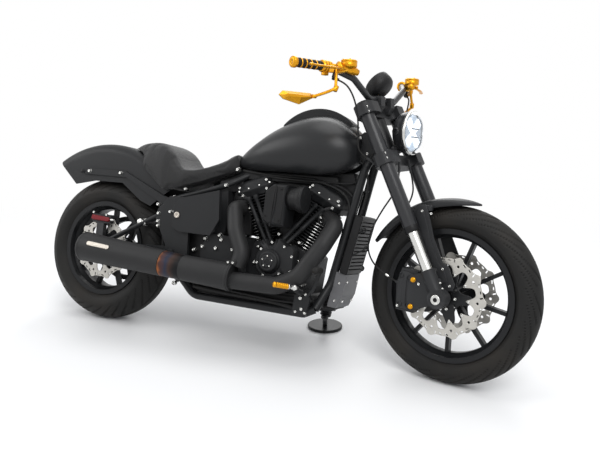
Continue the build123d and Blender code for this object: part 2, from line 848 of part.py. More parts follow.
strut_thickness = 9.0
strut_stud_radius = 12.0
fender_depth = 260.0  # crown to the edge of each side, before it is trimmed
fender_start = 136.0  # degrees from straight ahead, and its arc
fender_arc = 96.0
with BuildPart() as rear_fender:
    crowned_channel(
        rear_hub,
        fender_crown_radius,
        fender_half,
        fender_depth,
        fender_round,
        fender_wall,
        fender_start,
        fender_arc,
    )
    add(fender_envelope.part, mode=Mode.INTERSECT)
    for side, plate_face in ((-1, right_plate_place), (1, left_plate_place)):
        with BuildSketch(side_at(side * fender_half)):
            with BuildLine():
                Polyline(
                    (-120, 664),
                    (-108, 690),
                    (110, 692),
                    (330, 600),
                    (404, 584),
                    (400, 548),
                    (320, 566),
                    (120, 664),
                    close=True,
                )
            make_face()
        extrude(amount=-side * strut_thickness)
        strut_end = Vector(384, side * (fender_half + strut_thickness), 562)
        straight_tube(strut_end, Vector(384, side * plate_face, 562), strut_stud_radius)
rear_fender.part.label = "rear_fender"

# Seat: a closed pad that sits over the fender and the frame
seat_half = 152.0
seat_fender_gap = 3.0
seat_top = ((106, 806), (230, 836), (330, 814), (424, 726), (530, 744), (650, 820))
seat_underside = (
    (650, 820),
    (676, 784),
    (674, 742),
    (520, 668),
    (400, 624),
    (340, 616),
    (230, 690),
    (150, 762),
    (106, 806),
)
seat_plan = ((70, 70), (180, 120), (330, 150), (440, 150), (640, 84), (680, 70))  # x, half width
with BuildPart() as seat:
    with BuildSketch(side_at(seat_half)):
        with BuildLine():
            Spline(*seat_top)
            Polyline(*seat_underside)
        make_face()
    extrude(amount=2 * seat_half)
    with BuildSketch(Plane.XY.offset(600)):
        with BuildLine():
            right_edge = [(x, -half) for x, half in seat_plan]
            Polyline(*right_edge, *reversed(seat_plan), close=True)
        make_face()
    extrude(amount=300, mode=Mode.INTERSECT)
    with BuildSketch(wheel_section(rear_hub)):
        with Locations((0, fender_crown_radius * 0.75 + seat_fender_gap)):
            Rectangle(2 * fender_half + 24, fender_crown_radius / 2)
    revolve(axis=Axis(rear_hub, (0, 1, 0)), mode=Mode.SUBTRACT)
    add(frame_backbone.part, mode=Mode.SUBTRACT)
    add(seat_rails.part, mode=Mode.SUBTRACT)
    add(fuel_tank.part, mode=Mode.SUBTRACT)
seat.part.label = "seat"

# Side covers and the box between them
battery_half = 104.0
with BuildPart() as battery_box:
    with BuildSketch(side_at(battery_half)):
        with BuildLine():
            Polyline(
                (500, 478),
                (500, 610),
                (560, 640),
                (650, 650),
                (664, 520),
                (650, gearbox_top),
                (588, gearbox_top),
                close=True,
            )
        make_face()
    extrude(amount=2 * battery_half)
    add(seat_rails.part, mode=Mode.SUBTRACT)
battery_box.part.label = "battery_box"

cover_outline = ((438, 470), (436, 560), (470, 596), (652, 644), (664, 520), (628, 452), (470, 452))
cover_thickness = 20.0
with BuildPart() as side_covers:
    for plate_place, side in ((right_plate_place, -1), (left_plate_place, 1)):
        with BuildSketch(side_at(side * (plate_place + plate_thickness))):
            with BuildLine():
                Polyline(*cover_outline, close=True)
            make_face()
        extrude(amount=-side * cover_thickness)
side_covers.part.label = "side_covers"

# Oil cooler in front of the downtubes, with its lower cover
cooler_foot = (1180, 368)  # x, z at the rear face, where the cooler meets its cover
cooler_depth = 32.0
cooler_height = 240.0
cooler_half = 84.0
cooler_slots = 14
fin_gap = 5.0
slot_depth = cooler_depth * 0.6
lower_cover_half = cooler_half - 4.0
hose_guide_radius = 4.0
along_tubes = Vector(0.18, 0, 0.984)
off_tubes = Vector(0.984, 0, -0.18)


def cooler_plane(left):
    """Side plane at the cooler's foot: x forward off the downtubes, y up along them."""
    return Plane(Vector(cooler_foot[0], left, cooler_foot[1]), x_dir=off_tubes, z_dir=(0, -1, 0))


with BuildPart() as oil_cooler:
    with BuildSketch(cooler_plane(cooler_half)):
        with Locations((cooler_depth / 2, cooler_height / 2)):
            RectangleRounded(cooler_depth, cooler_height, 6)
    extrude(amount=2 * cooler_half)
    front_middle = cooler_plane(0).from_local_coords((cooler_depth, cooler_height / 2, 0))
    with BuildSketch(Plane(front_middle, x_dir=(0, 1, 0), z_dir=off_tubes)):
        with GridLocations(1, 3 * fin_gap, 1, cooler_slots):
            Rectangle(2 * cooler_half - 16, fin_gap)
    extrude(amount=-slot_depth, mode=Mode.SUBTRACT)
    straight_tube((1224, -76, 520), (1262, -86, 546), hose_guide_radius)
    add(frame_downtubes.part, mode=Mode.SUBTRACT)
oil_cooler.part.label = "oil_cooler"

with BuildPart() as cooler_lower_cover:
    with BuildSketch(cooler_plane(lower_cover_half)):
        with BuildLine():
            front_edge = ((cooler_depth, 0), (cooler_depth + 4, -84), (24, -140))
            Polyline((-16, 0), *front_edge, (-12, -144), close=True)
        make_face()
    extrude(amount=2 * lower_cover_half)
    add(frame_downtubes.part, mode=Mode.SUBTRACT)
cooler_lower_cover.part.label = "cooler_lower_cover"

# Belt: a closed loop round both pulleys
with BuildPart() as drive_belt:
    with BuildSketch(side_at(belt_inner + belt_width)):
        with Locations((0, rear_tyre_radius)):
            Circle(pulley_radius + belt_gap + belt_thickness)
        with Locations((gearbox_shaft_x, gearbox_shaft_z)):
            Circle(gearbox_pulley_radius + belt_thickness)
        make_hull()
        with BuildSketch(mode=Mode.SUBTRACT):
            with Locations((0, rear_tyre_radius)):
                Circle(pulley_radius + belt_gap)
            with Locations((gearbox_shaft_x, gearbox_shaft_z)):
                Circle(gearbox_pulley_radius)
            make_hull()
    extrude(amount=belt_width)
drive_belt.part.label = "drive_belt"

# Brake and clutch hoses on the right of the fork; those on the left are their mirror images
hose_radius = 3.25
hose_ferrule = 5.0
upper_hose_route = (
    (1219, -284, 1117),
    (1240, -266, 1109),
    (1254, -236, 1078),
    (1260, -206, 1030),
    (1261, -186, 972),
    (1256, -172, 914),
    (1259, -165, 857),
    (1286, -146, 838),
)
lower_hose_route = (
    (1380, -52, 790),
    (1388, -66, 745),
    (1378, -88, 700),
    (1345, -104, 640),
    (1310, -116, 560),
    (1305, -124, 493),
    (1319, -124, 455),
    (1343, -124, 427),
    (1381, -120, 403),
    (1404, -112, 388),
    (1426, -104, 376),
)


def ferrule(inner, outer, length):
    """Fitting in line with a hose's end run, on the far side of its end face."""
    inner, outer = Vector(*inner), Vector(*outer)
    straight_tube(outer, outer + (outer - inner).normalized() * length, hose_ferrule)


# Rear brake caliper above the disc, on its bracket
rear_caliper_inner = rear_disc_place - 30.0
rear_caliper_width = 62.0
rear_bracket_place = rear_disc_place + 12.0
rear_caliper_height = 135.0  # middle of the body above the axle
with BuildPart() as rear_caliper:
    with BuildSketch(side_at(-rear_caliper_inner)):
        with Locations((0, rear_tyre_radius + rear_caliper_height)):
            RectangleRounded(108, 40, 12)
    extrude(amount=rear_caliper_width)
    with BuildSketch(side_at(-rear_disc_place + disc_thickness / 2 + pad_gap)):
        with Locations((0, rear_tyre_radius)):
            Circle(rear_disc_radius + pad_gap)
    extrude(amount=disc_thickness + 2 * pad_gap, mode=Mode.SUBTRACT)
    with BuildSketch(side_at(-rear_bracket_place)):
        with Locations((0, rear_tyre_radius + 66)):
            Rectangle(40, 98)
    extrude(amount=right_arm_place - rear_bracket_place)
rear_caliper.part.label = "rear_caliper"

# Foot controls on the frame rails
control_plate = rail_half + rail_radius  # inner face of each bracket
control_plate_thickness = 16.0
control_outline = ((1032, 182), (1038, 262), (1062, 286), (1092, 290), (1104, 258), (1090, 182))
peg_post_radius = 11.0
pedal_radius = 8.0
pedal_pad_radius = 12.0
peg_radius = 16.0
with BuildPart() as foot_controls:
    with BuildSketch(side_at(-control_plate)):
        with BuildLine():
            Polyline(*control_outline, close=True)
        make_face()
    extrude(amount=control_plate_thickness)
    straight_tube((1070, -control_plate - 8, 272), (1070, -238, 290), peg_post_radius)
    swept_tube(
        [(1086, -control_plate - 8, 262), (1122, -196, 300), (1150, -214, 372), (1154, -262, 376)],
        [18, 18],
        pedal_radius,
    )
    straight_tube((1154, -226, 376), (1154, -276, 376), pedal_pad_radius)
    both_sides()
foot_controls.part.label = "foot_controls"

with BuildPart() as foot_pegs:
    straight_tube((1068, -234, 298), (1016, -330, 309), peg_radius)
    both_sides()
    add(foot_controls.part, mode=Mode.SUBTRACT)
foot_pegs.part.label = "foot_pegs"

# Fork
stem_nut = 12.0  # steering stem above the upper clamp
upper_ferrule = 52.0
lower_ferrule = 56.0
with BuildPart() as lower_clamp:
    clamp_plate(lower_clamp_bottom, clamp_ring)
    with BuildSketch(fork_plane(lower_clamp_bottom)):
        with Locations((-fork_offset, 0)):
            Circle(stem_radius)
    extrude(amount=upper_clamp_bottom + clamp_thickness + stem_nut - lower_clamp_bottom)
    ferrule(upper_hose_route[-2], upper_hose_route[-1], upper_ferrule)
    ferrule(lower_hose_route[1], lower_hose_route[0], lower_ferrule)
    both_sides()
lower_clamp.part.label = "lower_clamp"

# Handlebar, drawn in the unsteered machine
bar_points = (
    (1140, -452, 1160),
    (1186, -292, 1164),
    (1240, -206, 1132),
    (1250, -100, 1070),
    (1256, 0, 1068.5),
    (1250, 100, 1070),
    (1240, 206, 1132),
    (1186, 292, 1164),
    (1140, 452, 1160),
)
with BuildPart() as handlebar:
    swept_tube(list(bar_points), [70, 46, 46, 200, 46, 46, 70], bar_radius)
handlebar.part.label = "handlebar"

riser_place = 40.0
riser_half = 16.0
with BuildPart() as upper_clamp:
    clamp_plate(upper_clamp_bottom, clamp_ring)
    for left in (-riser_place, riser_place):
        with BuildSketch(side_at(left + riser_half)):
            with BuildLine():
                Polyline((1210, 1010), (1232, 1084), (1280, 1084), (1284, 1046), (1268, 1018), close=True)
            make_face()
        extrude(amount=2 * riser_half)
    add(handlebar.part, mode=Mode.SUBTRACT)
    add(lower_clamp.part, mode=Mode.SUBTRACT)
upper_clamp.part.label = "upper_clamp"

with BuildPart() as fork_tubes:
    for side in (-1, 1):
        place = fork_plane(0).from_local_coords((0, side * leg_spacing, 0))
        leg_end = place + steering_up * leg_bottom
        full_from = place + steering_up * (leg_bottom + leg_taper)
        straight_tube(full_from, place + steering_up * leg_top, leg_radius)
        straight_tube(leg_end, full_from, leg_end_radius, leg_radius)
fork_tubes.part.label = "fork_tubes"

with BuildPart() as fork_sliders:
    for side in (-1, 1):
        place = fork_plane(0).from_local_coords((0, side * leg_spacing, 0))
        straight_tube(place + steering_up * lug_top, place + steering_up * leg_bottom, slider_radius)
fork_sliders.part.label = "fork_sliders"

caliper_bolts = ((-104, 58), (-106, -40))  # from the axle
caliper_bolt_radius = 9.0
caliper_outer = 110.0  # outer face of each front caliper from the centre plane
caliper_half = 34.0
lug_plate_thickness = 12.0
with BuildPart() as fork_lugs:
    for side in (-1, 1):
        place = fork_plane(0).from_local_coords((0, side * leg_spacing, 0))
        straight_tube(place, place + steering_up * lug_top, lug_radius)
        with BuildSketch(side_plane(front_hub, side * leg_spacing + axle_boss_half)):
            Circle(axle_boss_radius)
        extrude(amount=2 * axle_boss_half)
        with BuildSketch(side_plane(front_hub, side * leg_spacing + lug_plate_thickness / 2)):
            with BuildLine():
                Polyline(
                    (-12, -24),
                    (-96, -58),
                    (-118, -52),
                    (-124, 0),
                    (-118, 70),
                    (-92, 80),
                    (-58, 90),
                    (-36, 84),
                    (0, 30),
                    close=True,
                )
            make_face()
        extrude(amount=lug_plate_thickness)
        lug_inner = leg_spacing - lug_plate_thickness / 2
        with BuildSketch(side_plane(front_hub, side * lug_inner)):
            with Locations(*caliper_bolts):
                Circle(caliper_bolt_radius)
        extrude(amount=side * (lug_inner - caliper_outer))
    with BuildSketch(side_plane(front_hub)):
        Circle(axle_radius)
    extrude(amount=2 * leg_spacing, both=True, mode=Mode.SUBTRACT)
fork_lugs.part.label = "fork_lugs"

axle_half = leg_spacing + axle_boss_half + 6
with BuildPart() as front_axle:
    with BuildSketch(side_plane(front_hub)):
        Circle(axle_radius)
    extrude(amount=axle_half, both=True)
    for side in (-1, 1):
        with BuildSketch(side_plane(front_hub, side * (leg_spacing + axle_boss_half))):
            Circle(axle_radius + 5)
        extrude(amount=-side * 5)
    for side in (-1, 1):
        with BuildSketch(side_plane(front_hub, side * axle_half)):
            Circle(axle_bore)
        extrude(amount=side * 30, mode=Mode.SUBTRACT)
front_axle.part.label = "front_axle"

# Front fender and its legs
front_fender_depth = 34.0
front_fender_start = 150.0
front_fender_arc = 73.0
stay_place = 84.0  # middle of each leg from the centre plane
stay_thickness = 6.0
stay_peg_radius = 8.0
with BuildPart() as front_fender:
    crowned_channel(
        front_hub,
        front_fender_radius,
        front_fender_half,
        front_fender_depth,
        front_fender_round,
        front_fender_wall,
        front_fender_start,
        front_fender_arc,
    )
    for side in (-1, 1):
        with BuildSketch(side_plane(front_hub, side * stay_place + stay_thickness / 2)):
            with BuildLine():
                Polyline(
                    (-34, 36),
                    (-60, 96),
                    (-150, 300),
                    (-96, 344),
                    (-60, 338),
                    (-20, 210),
                    (6, 60),
                    close=True,
                )
            make_face()
        extrude(amount=stay_thickness)
        with BuildSketch(side_plane(front_hub, side * (front_fender_half + 8) + 8)):
            with Locations((-96, 324)):
                Rectangle(44, 22)
        extrude(amount=16)
        for height in (62, 96):
            foot = fork_plane(height).from_local_coords((0, side * stay_place, 0))
            straight_tube(foot, foot + across * side * 16, stay_peg_radius)
    add(fork_lugs.part, mode=Mode.SUBTRACT)
front_fender.part.label = "front_fender"

# Front calipers behind the legs
caliper_outline = (
    (-178, -70),
    (-104, -74),
    (-92, -40),
    (-84, 40),
    (-96, 86),
    (-162, 92),
    (-182, 30),
)
caliper_ferrule = 24.0
with BuildPart() as front_calipers:
    for side in (-1, 1):
        with BuildSketch(side_plane(front_hub, side * (caliper_outer - caliper_half) + caliper_half)):
            with BuildLine():
                Polyline(*caliper_outline, close=True)
            make_face()
        extrude(amount=2 * caliper_half)
        with BuildSketch(side_plane(front_hub, side * front_disc_place + disc_thickness / 2 + pad_gap)):
            Circle(front_disc_radius + pad_gap)
        extrude(amount=disc_thickness + 2 * pad_gap, mode=Mode.SUBTRACT)
        with BuildSketch(side_plane(front_hub, side * (front_disc_place - 36) + 36)):
            Circle(front_disc_inner + 8)
        extrude(amount=72, mode=Mode.SUBTRACT)
    ferrule(lower_hose_route[-2], lower_hose_route[-1], caliper_ferrule)
    both_sides()
front_calipers.part.label = "front_calipers"


def hose_radii(route):
    """Bend radii of a hose: each arc takes up 0.45 of the shorter run beside it."""
    points = [Vector(*point) for point in route]
    radii = []
    for before, corner, after in zip(points, points[1:], points[2:]):
        turn = radians((corner - before).get_angle(after - corner))
        radii.append(0.45 * min((corner - before).length, (after - corner).length) / tan(turn / 2))
    return radii


hoses = []
for name, route, side in (
    ("brake_hose_upper", upper_hose_route, 1),
    ("clutch_hose", upper_hose_route, -1),
    ("brake_hose_right", lower_hose_route, 1),
    ("brake_hose_left", lower_hose_route, -1),
):
    hose_points = [Vector(x, side * y, z) for x, y, z in route]
    with BuildPart() as hose:
        swept_tube(hose_points, hose_radii(hose_points), hose_radius)
    hose.part.label = name
    hoses.append(hose)
    length = hose.part.volume / (pi * hose_radius**2)
    print(name, "length", round(length), "radii", [round(radius) for radius in hose_radii(hose_points)])


grip_start = Vector(*bar_points[1])
grip_end = Vector(*bar_points[0])
grip_run = (grip_end - grip_start).normalized()
grip_from = 44.0  # along the bar from its bend
grip_to = 162.0
grip_gap = 0.3
switch_to = 30.0
switch_radius = 22.0
end_cap = 14.0
master_radius = 14.0
reservoir_radius = 31.0
perch_radius = 12.0
lever_radius = 6.0
master_ferrule = 22.0


def on_bar(distance):
    """Point on the right-hand bar end, measured outwards from the bend."""
    return grip_start + grip_run * distance


with BuildPart() as grips:
    straight_tube(on_bar(grip_from), on_bar(grip_to), grip_radius)
    both_sides()
    add(handlebar.part, mode=Mode.SUBTRACT)
grips.part.label = "grips"

with BuildPart() as hand_controls:
    straight_tube(on_bar(grip_to + grip_gap), on_bar(grip_to + end_cap), grip_radius + 2, grip_radius - 3)
    straight_tube(on_bar(0), on_bar(switch_to), switch_radius)
    straight_tube(on_bar(switch_to), on_bar(grip_from - grip_gap), grip_radius + 4)
    straight_tube((1268, -222, 1150), (1226, -304, 1168), master_radius)
    straight_tube((1250, -262, 1156), (1250, -262, 1192), reservoir_radius)
    straight_tube((1192, -288, 1160), (1240, -280, 1160), perch_radius)
    swept_tube([(1240, -296, 1160), (1246, -340, 1150), (1206, -452, 1150)], [60], lever_radius)
    ferrule(upper_hose_route[1], upper_hose_route[0], master_ferrule)
    straight_tube((1226, -300, 1164), (1204, -296, 1122), lever_radius)
    both_sides()
    add(handlebar.part, mode=Mode.SUBTRACT)
hand_controls.part.label = "hand_controls"

mirror_arm_radius = 6.0
mirror_half = 11.0
mirror_plane = Plane((1140, -420, 1042), x_dir=(0.37, 0.93, 0.0), z_dir=(0.93, -0.37, 0.0))
with BuildPart() as mirrors:
    swept_tube([(1222, -302, 1166), (1232, -318, 1084), (1164, -362, 1048)], [14], mirror_arm_radius)
    with BuildSketch(mirror_plane):
        with BuildLine():
            Polyline((-80, 2), (-66, 16), (60, 18), (78, 4), (10, -26), (-60, -14), close=True)
        make_face()
    extrude(amount=mirror_half, both=True)
    both_sides()
    add(hand_controls.part, mode=Mode.SUBTRACT)
mirrors.part.label = "mirrors"

# Gauge and headlight
gauge_centre = Vector(1240, 0, 1128)
gauge_facing = Vector(-0.76, 0, 0.65).normalized()
gauge_back = gauge_centre - gauge_facing * 34
gauge_front = gauge_centre + gauge_facing * 26
with BuildPart() as gauge:
    straight_tube(gauge_back, gauge_front, gauge_radius)
    straight_tube((1262, 0, 1074), (1258, 0, 1100), 9)
    add(handlebar.part, mode=Mode.SUBTRACT)
    add(upper_clamp.part, mode=Mode.SUBTRACT)
gauge.part.label = "gauge"

lamp_z = 946.0
lamp_gap = 6.0  # to the neck
lamp_back = 1334.0
lamp_front = 1395.0
bucket_radius = lamp_radius - 3.0
bucket_taper = 14.0
bezel_depth = 8.0
with BuildPart() as headlight:
    straight_tube(
        (lamp_back, 0, lamp_z), (lamp_back + bucket_taper, 0, lamp_z), bucket_radius - 13, bucket_radius
    )
    straight_tube((lamp_back + bucket_taper, 0, lamp_z), (lamp_front, 0, lamp_z), bucket_radius)
    straight_tube((lamp_front, 0, lamp_z), (lamp_front + bezel_depth, 0, lamp_z), lamp_radius)
    with BuildSketch(fork_plane(lower_clamp_bottom + clamp_thickness)):
        with Locations((14, 0)):
            Rectangle(28, 56)
    extrude(amount=60)
    with BuildSketch(fork_plane(neck_start - neck_end_gap)):
        with Locations((-fork_offset, 0)):
            Circle(neck_radius + lamp_gap)
    extrude(amount=neck_end - neck_start + 2 * neck_end_gap, mode=Mode.SUBTRACT)
    add(lower_clamp.part, mode=Mode.SUBTRACT)
headlight.part.label = "headlight"

lens_depth = 56.0
lens_rim = 12.0  # straight part of the lens before its dome
dome_rise = lens_depth - lens_rim
dome_foot = lamp_radius - 4
dome_radius = (dome_foot**2 + dome_rise**2) / (2 * dome_rise)
dome_angle = degrees(atan2(dome_foot, dome_radius - dome_rise))
with BuildPart() as headlight_lens:
    with BuildSketch(side_plane(Vector(lamp_front + bezel_depth, 0, lamp_z))):
        with BuildLine():
            Polyline((lens_depth, 0), (0, 0), (0, dome_foot), (lens_rim, dome_foot))
            CenterArc((lens_depth - dome_radius, 0), dome_radius, 0, dome_angle)
        make_face()
    revolve(axis=Axis((lamp_front, 0, lamp_z), (1, 0, 0)))
headlight_lens.part.label = "headlight_lens"

# Parked placement: lean, then pitch until the steered front tyre meets the ground
def crown_of(radius, width, bulge_radius):
    """Radius of a tyre's crown arc across its width."""
    rise = radius - bulge_radius
    return ((width / 2) ** 2 + rise**2) / (2 * rise)


def turned_about(point, direction, angle):
    """Placement that turns a piece about an axis through a point."""
    return Location(point) * Location((0, 0, 0), direction, angle) * Location(point * -1)


front_crown = crown_of(front_tyre_radius, front_tyre_width, front_bulge_radius)
rear_crown = crown_of(rear_tyre_radius, rear_tyre_width, rear_bulge_radius)
steered = turned_about(steering_foot, steering_up, steer)
lift = rear_crown * (1 - cos(radians(lean)))
leaned = Location((0, 0, lift)) * Location((0, 0, 0), (1, 0, 0), -lean)


def parked_at(pitch):
    """Placement of the leaned machine, pitched nose down about the rear axle."""
    return leaned * turned_about(rear_hub, across, pitch)


def front_clearance(pitch):
    """Height of the front tyre's lowest point above the ground."""
    wheel = parked_at(pitch) * steered
    hub_place = (wheel * Location(front_hub)).position
    axle_way = (wheel * Location(front_hub + across)).position - hub_place
    ring = front_tyre_radius - front_crown
    return hub_place.Z - ring * sqrt(1 - axle_way.Z**2) - front_crown


pitch = 0.0
for step in range(8):
    pitch = pitch + degrees(front_clearance(pitch) / wheelbase)
parked = parked_at(pitch)

# Side stand: its bracket hangs from the left rail, its foot lies flat on the ground as parked
with BuildPart() as stand_bracket:
    pin_start = stand_pivot - stand_axis * (stand_boss_length + 4)
    straight_tube(
        stand_pivot + stand_axis, stand_pivot + stand_axis * stand_bracket_length, stand_bracket_radius
    )
    straight_tube(pin_start, stand_pivot + stand_axis * 2, stand_pin_radius)
    add(frame_rails.part, mode=Mode.SUBTRACT)
stand_bracket.part.label = "stand_bracket"

foot_plane = Plane(parked.inverse() * Location((stand_foot_x, stand_foot_y, 0)))
with BuildPart() as stand_foot:
    with BuildSketch(foot_plane):
        Circle(stand_foot_radius)
    extrude(amount=stand_foot_thickness)
    chamfer(stand_foot.edges().filter_by(GeomType.CIRCLE), 3)
stand_foot.part.label = "stand_foot"

foot_top = foot_plane.origin + foot_plane.z_dir * stand_foot_thickness
leg_head = stand_pivot - stand_axis * (stand_boss_length / 2)
with BuildPart() as side_stand:
    straight_tube(stand_pivot - stand_axis * stand_boss_length, stand_pivot, stand_boss_radius)
    straight_tube(leg_head, foot_top - (leg_head - foot_top).normalized() * 8, stand_leg_radius)
    with BuildSketch(Plane(stand_pivot - stand_axis * (stand_boss_length + 12), z_dir=stand_axis)):
        Circle(stand_pin_radius + running_gap)
    extrude(amount=stand_boss_length + 13, mode=Mode.SUBTRACT)
    with BuildSketch(Plane(stand_pivot, z_dir=stand_axis)):
        Circle(30)
    extrude(amount=24, mode=Mode.SUBTRACT)
    add(stand_foot.part, mode=Mode.SUBTRACT)
side_stand.part.label = "side_stand"

# Every piece as parked, written one file each
fixed_pieces = (
    frame_backbone, frame_downtubes, frame_rails, frame_plates, seat_rails, stand_bracket,
    swingarm_arms, swingarm_crossmember, swingarm_struts, rear_axle, crankcase, cylinders,
    rocker_covers, timing_cover, gearbox, primary_cover, air_cleaner,
    exhaust_headers, exhaust_collector, muffler, fuel_tank, tank_console, rear_fender, seat,
    battery_box, side_covers, oil_cooler, cooler_lower_cover, drive_belt, rear_caliper,
    foot_controls, foot_pegs, rear_tyre, rear_rim, rear_disc, rear_pulley,
    side_stand, stand_foot,
)
steered_pieces = (
    upper_clamp, lower_clamp, fork_tubes, fork_sliders, fork_lugs, front_axle, front_fender,
    front_calipers, handlebar, grips, hand_controls, mirrors, gauge, headlight, headlight_lens,
    front_tyre, front_rim, front_discs, *hoses,
)
placed = [parked * piece.part for piece in fixed_pieces]
placed += [parked * steered * piece.part for piece in steered_pieces]
boxes = [piece.bounding_box() for piece in placed]
low = Vector(min(box.min.X for box in boxes), min(box.min.Y for box in boxes), 0)
high = Vector(max(box.max.X for box in boxes), max(box.max.Y for box in boxes), 0)
centred = Location((low + high) * -0.5)
for piece, source in zip(placed, (*fixed_pieces, *steered_pieces)):
    moved = centred * piece
    moved.label = source.part.label
    export_step(moved, f"parts/{moved.label}.step")
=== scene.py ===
import json
import math
import bpy
import bmesh
import numpy as np
from mathutils import Matrix, Vector

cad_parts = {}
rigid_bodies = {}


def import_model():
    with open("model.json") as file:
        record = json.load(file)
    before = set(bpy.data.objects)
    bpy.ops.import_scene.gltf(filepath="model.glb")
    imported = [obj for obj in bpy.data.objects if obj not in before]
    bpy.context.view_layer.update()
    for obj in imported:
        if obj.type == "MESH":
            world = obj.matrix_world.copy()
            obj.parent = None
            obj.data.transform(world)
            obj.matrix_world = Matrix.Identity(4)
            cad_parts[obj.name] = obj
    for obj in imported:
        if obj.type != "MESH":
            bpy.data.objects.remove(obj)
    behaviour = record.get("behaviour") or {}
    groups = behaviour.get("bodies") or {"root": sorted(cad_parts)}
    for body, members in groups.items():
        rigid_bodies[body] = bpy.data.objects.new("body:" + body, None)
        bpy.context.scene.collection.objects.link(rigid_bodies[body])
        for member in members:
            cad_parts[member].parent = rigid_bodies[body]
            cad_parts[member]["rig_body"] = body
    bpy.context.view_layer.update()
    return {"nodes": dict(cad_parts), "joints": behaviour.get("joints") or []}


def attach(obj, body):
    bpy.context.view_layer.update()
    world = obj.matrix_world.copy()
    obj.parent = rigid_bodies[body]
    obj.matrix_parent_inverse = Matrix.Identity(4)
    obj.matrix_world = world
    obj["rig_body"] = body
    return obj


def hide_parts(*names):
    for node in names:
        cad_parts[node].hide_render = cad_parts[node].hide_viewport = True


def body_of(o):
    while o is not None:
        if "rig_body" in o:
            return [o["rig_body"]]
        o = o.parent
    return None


# Cruiser motorcycle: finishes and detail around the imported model.
# Shapes are written in the upright machine's own millimetres: origin on the ground under the rear axle,
# x forward, y to the left, z up. placed() leans them, and turns those on the fork, into the scene's metres.

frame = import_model()
nodes = frame["nodes"]
joints = {joint["name"]: joint for joint in frame["joints"]}
print("frame loaded:", len(nodes), "nodes")

machine = {
    "wheelbase": 1615.0,
    "rearRadius": 329.0,
    "frontRadius": 340.5,
    "rake": math.radians(28.0),
    "forkOffset": 32.0,  # axle ahead of the steering axis
    "steer": math.radians(-12.85),
}
rearHub = np.array((0.0, 0.0, machine["rearRadius"]))
frontHub = np.array((machine["wheelbase"], 0.0, machine["frontRadius"]))
steerUp = np.array((-math.sin(machine["rake"]), 0.0, math.cos(machine["rake"])))
forkForward = np.array((math.cos(machine["rake"]), 0.0, math.sin(machine["rake"])))
leftWay = np.array((0.0, 1.0, 0.0))
rightWay = -leftWay
aheadWay, skyWay = (1, 0, 0), (0, 0, 1)
steerFoot = frontHub - machine["forkOffset"] * forkForward


def unit(vector):
    vector = np.asarray(vector, float)
    return vector / np.linalg.norm(vector, axis=-1, keepdims=True)


def turnMatrix(axis, angle):  # Rodrigues' rotation: I + sin K + (1 - cos) K^2
    x, y, z = unit(axis)
    cross = np.array(((0, -z, y), (z, 0, -x), (-y, x, 0)))
    return np.eye(3) + math.sin(angle) * cross + (1 - math.cos(angle)) * cross @ cross


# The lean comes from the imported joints: the rear axle's direction and the line from it to the fork's foot.
rearPlace = np.array(joints["rear_wheel_spin"]["pos_m"])
across = unit(joints["rear_wheel_spin"]["axis"])
toFork = np.array(joints["steering"]["pos_m"]) - rearPlace
toForkUpright = steerFoot - rearHub
nose = unit(toFork)
roof = np.cross(nose, across)
level = math.atan2(toForkUpright[2], toForkUpright[0])
forwardWay = math.cos(level) * nose - math.sin(level) * roof
upWay = math.sin(level) * nose + math.cos(level) * roof
leanMatrix = np.stack((forwardWay, across, upWay), axis=1)


def placed(points, steered=False):  # the upright machine's millimetres to the scene's metres
    points = np.asarray(points, float)
    if steered:
        points = (points - steerFoot) @ turnMatrix(steerUp, machine["steer"]).T + steerFoot
    return (points - rearHub) @ leanMatrix.T * 0.001 + rearPlace


def onFork(height, left=0.0, ahead=0.0):  # a point by its distance up the fork, to the left and ahead
    height, left, ahead = np.broadcast_arrays(height, left, ahead)
    return frontHub + height[..., None] * steerUp + left[..., None] * leftWay + ahead[..., None] * forkForward


# The camera, the light and the floor come first
camera = {
    "fromRearHub": (2.0856, -2.4759, 0.8486),  # metres
    "right": (0.9109, 0.4125, 0.0145),
    "up": (-0.1062, 0.2005, 0.9739),
    "lens": 40.55,
    "sensor": 36.0,
}


def makeCamera():
    data = bpy.data.cameras.new("camera")
    data.sensor_width = camera["sensor"]
    data.lens = camera["lens"]
    data.clip_end = 60.0
    eye = bpy.data.objects.new("camera", data)
    right = Vector(camera["right"]).normalized()
    back = right.cross(Vector(camera["up"])).normalized()
    up = back.cross(right)
    turn = Matrix((right, up, back)).transposed()
    eye.matrix_world = Matrix.Translation(Vector(rearPlace) + Vector(camera["fromRearHub"])) @ turn.to_4x4()
    bpy.context.scene.collection.objects.link(eye)
    bpy.context.scene.camera = eye


def newMaterial(name):
    material = bpy.data.materials.new(name)
    material.use_nodes = True
    tree = material.node_tree
    return material, tree, tree.nodes["Principled BSDF"]


def node(tree, kind, inputs=(), **settings):
    made = tree.nodes.new(kind)
    for key, value in settings.items():
        setattr(made, key, value)
    for key, value in dict(inputs).items():
        made.inputs[key].default_value = value
    return made


def link(source, target):
    source.id_data.links.new(source, target)


def opened(material):  # the parts of a coated material that more nodes are tied to
    tree = material.node_tree
    return tree, tree.nodes["Principled BSDF"], next(n for n in tree.nodes if n.type == "TEX_COORD")


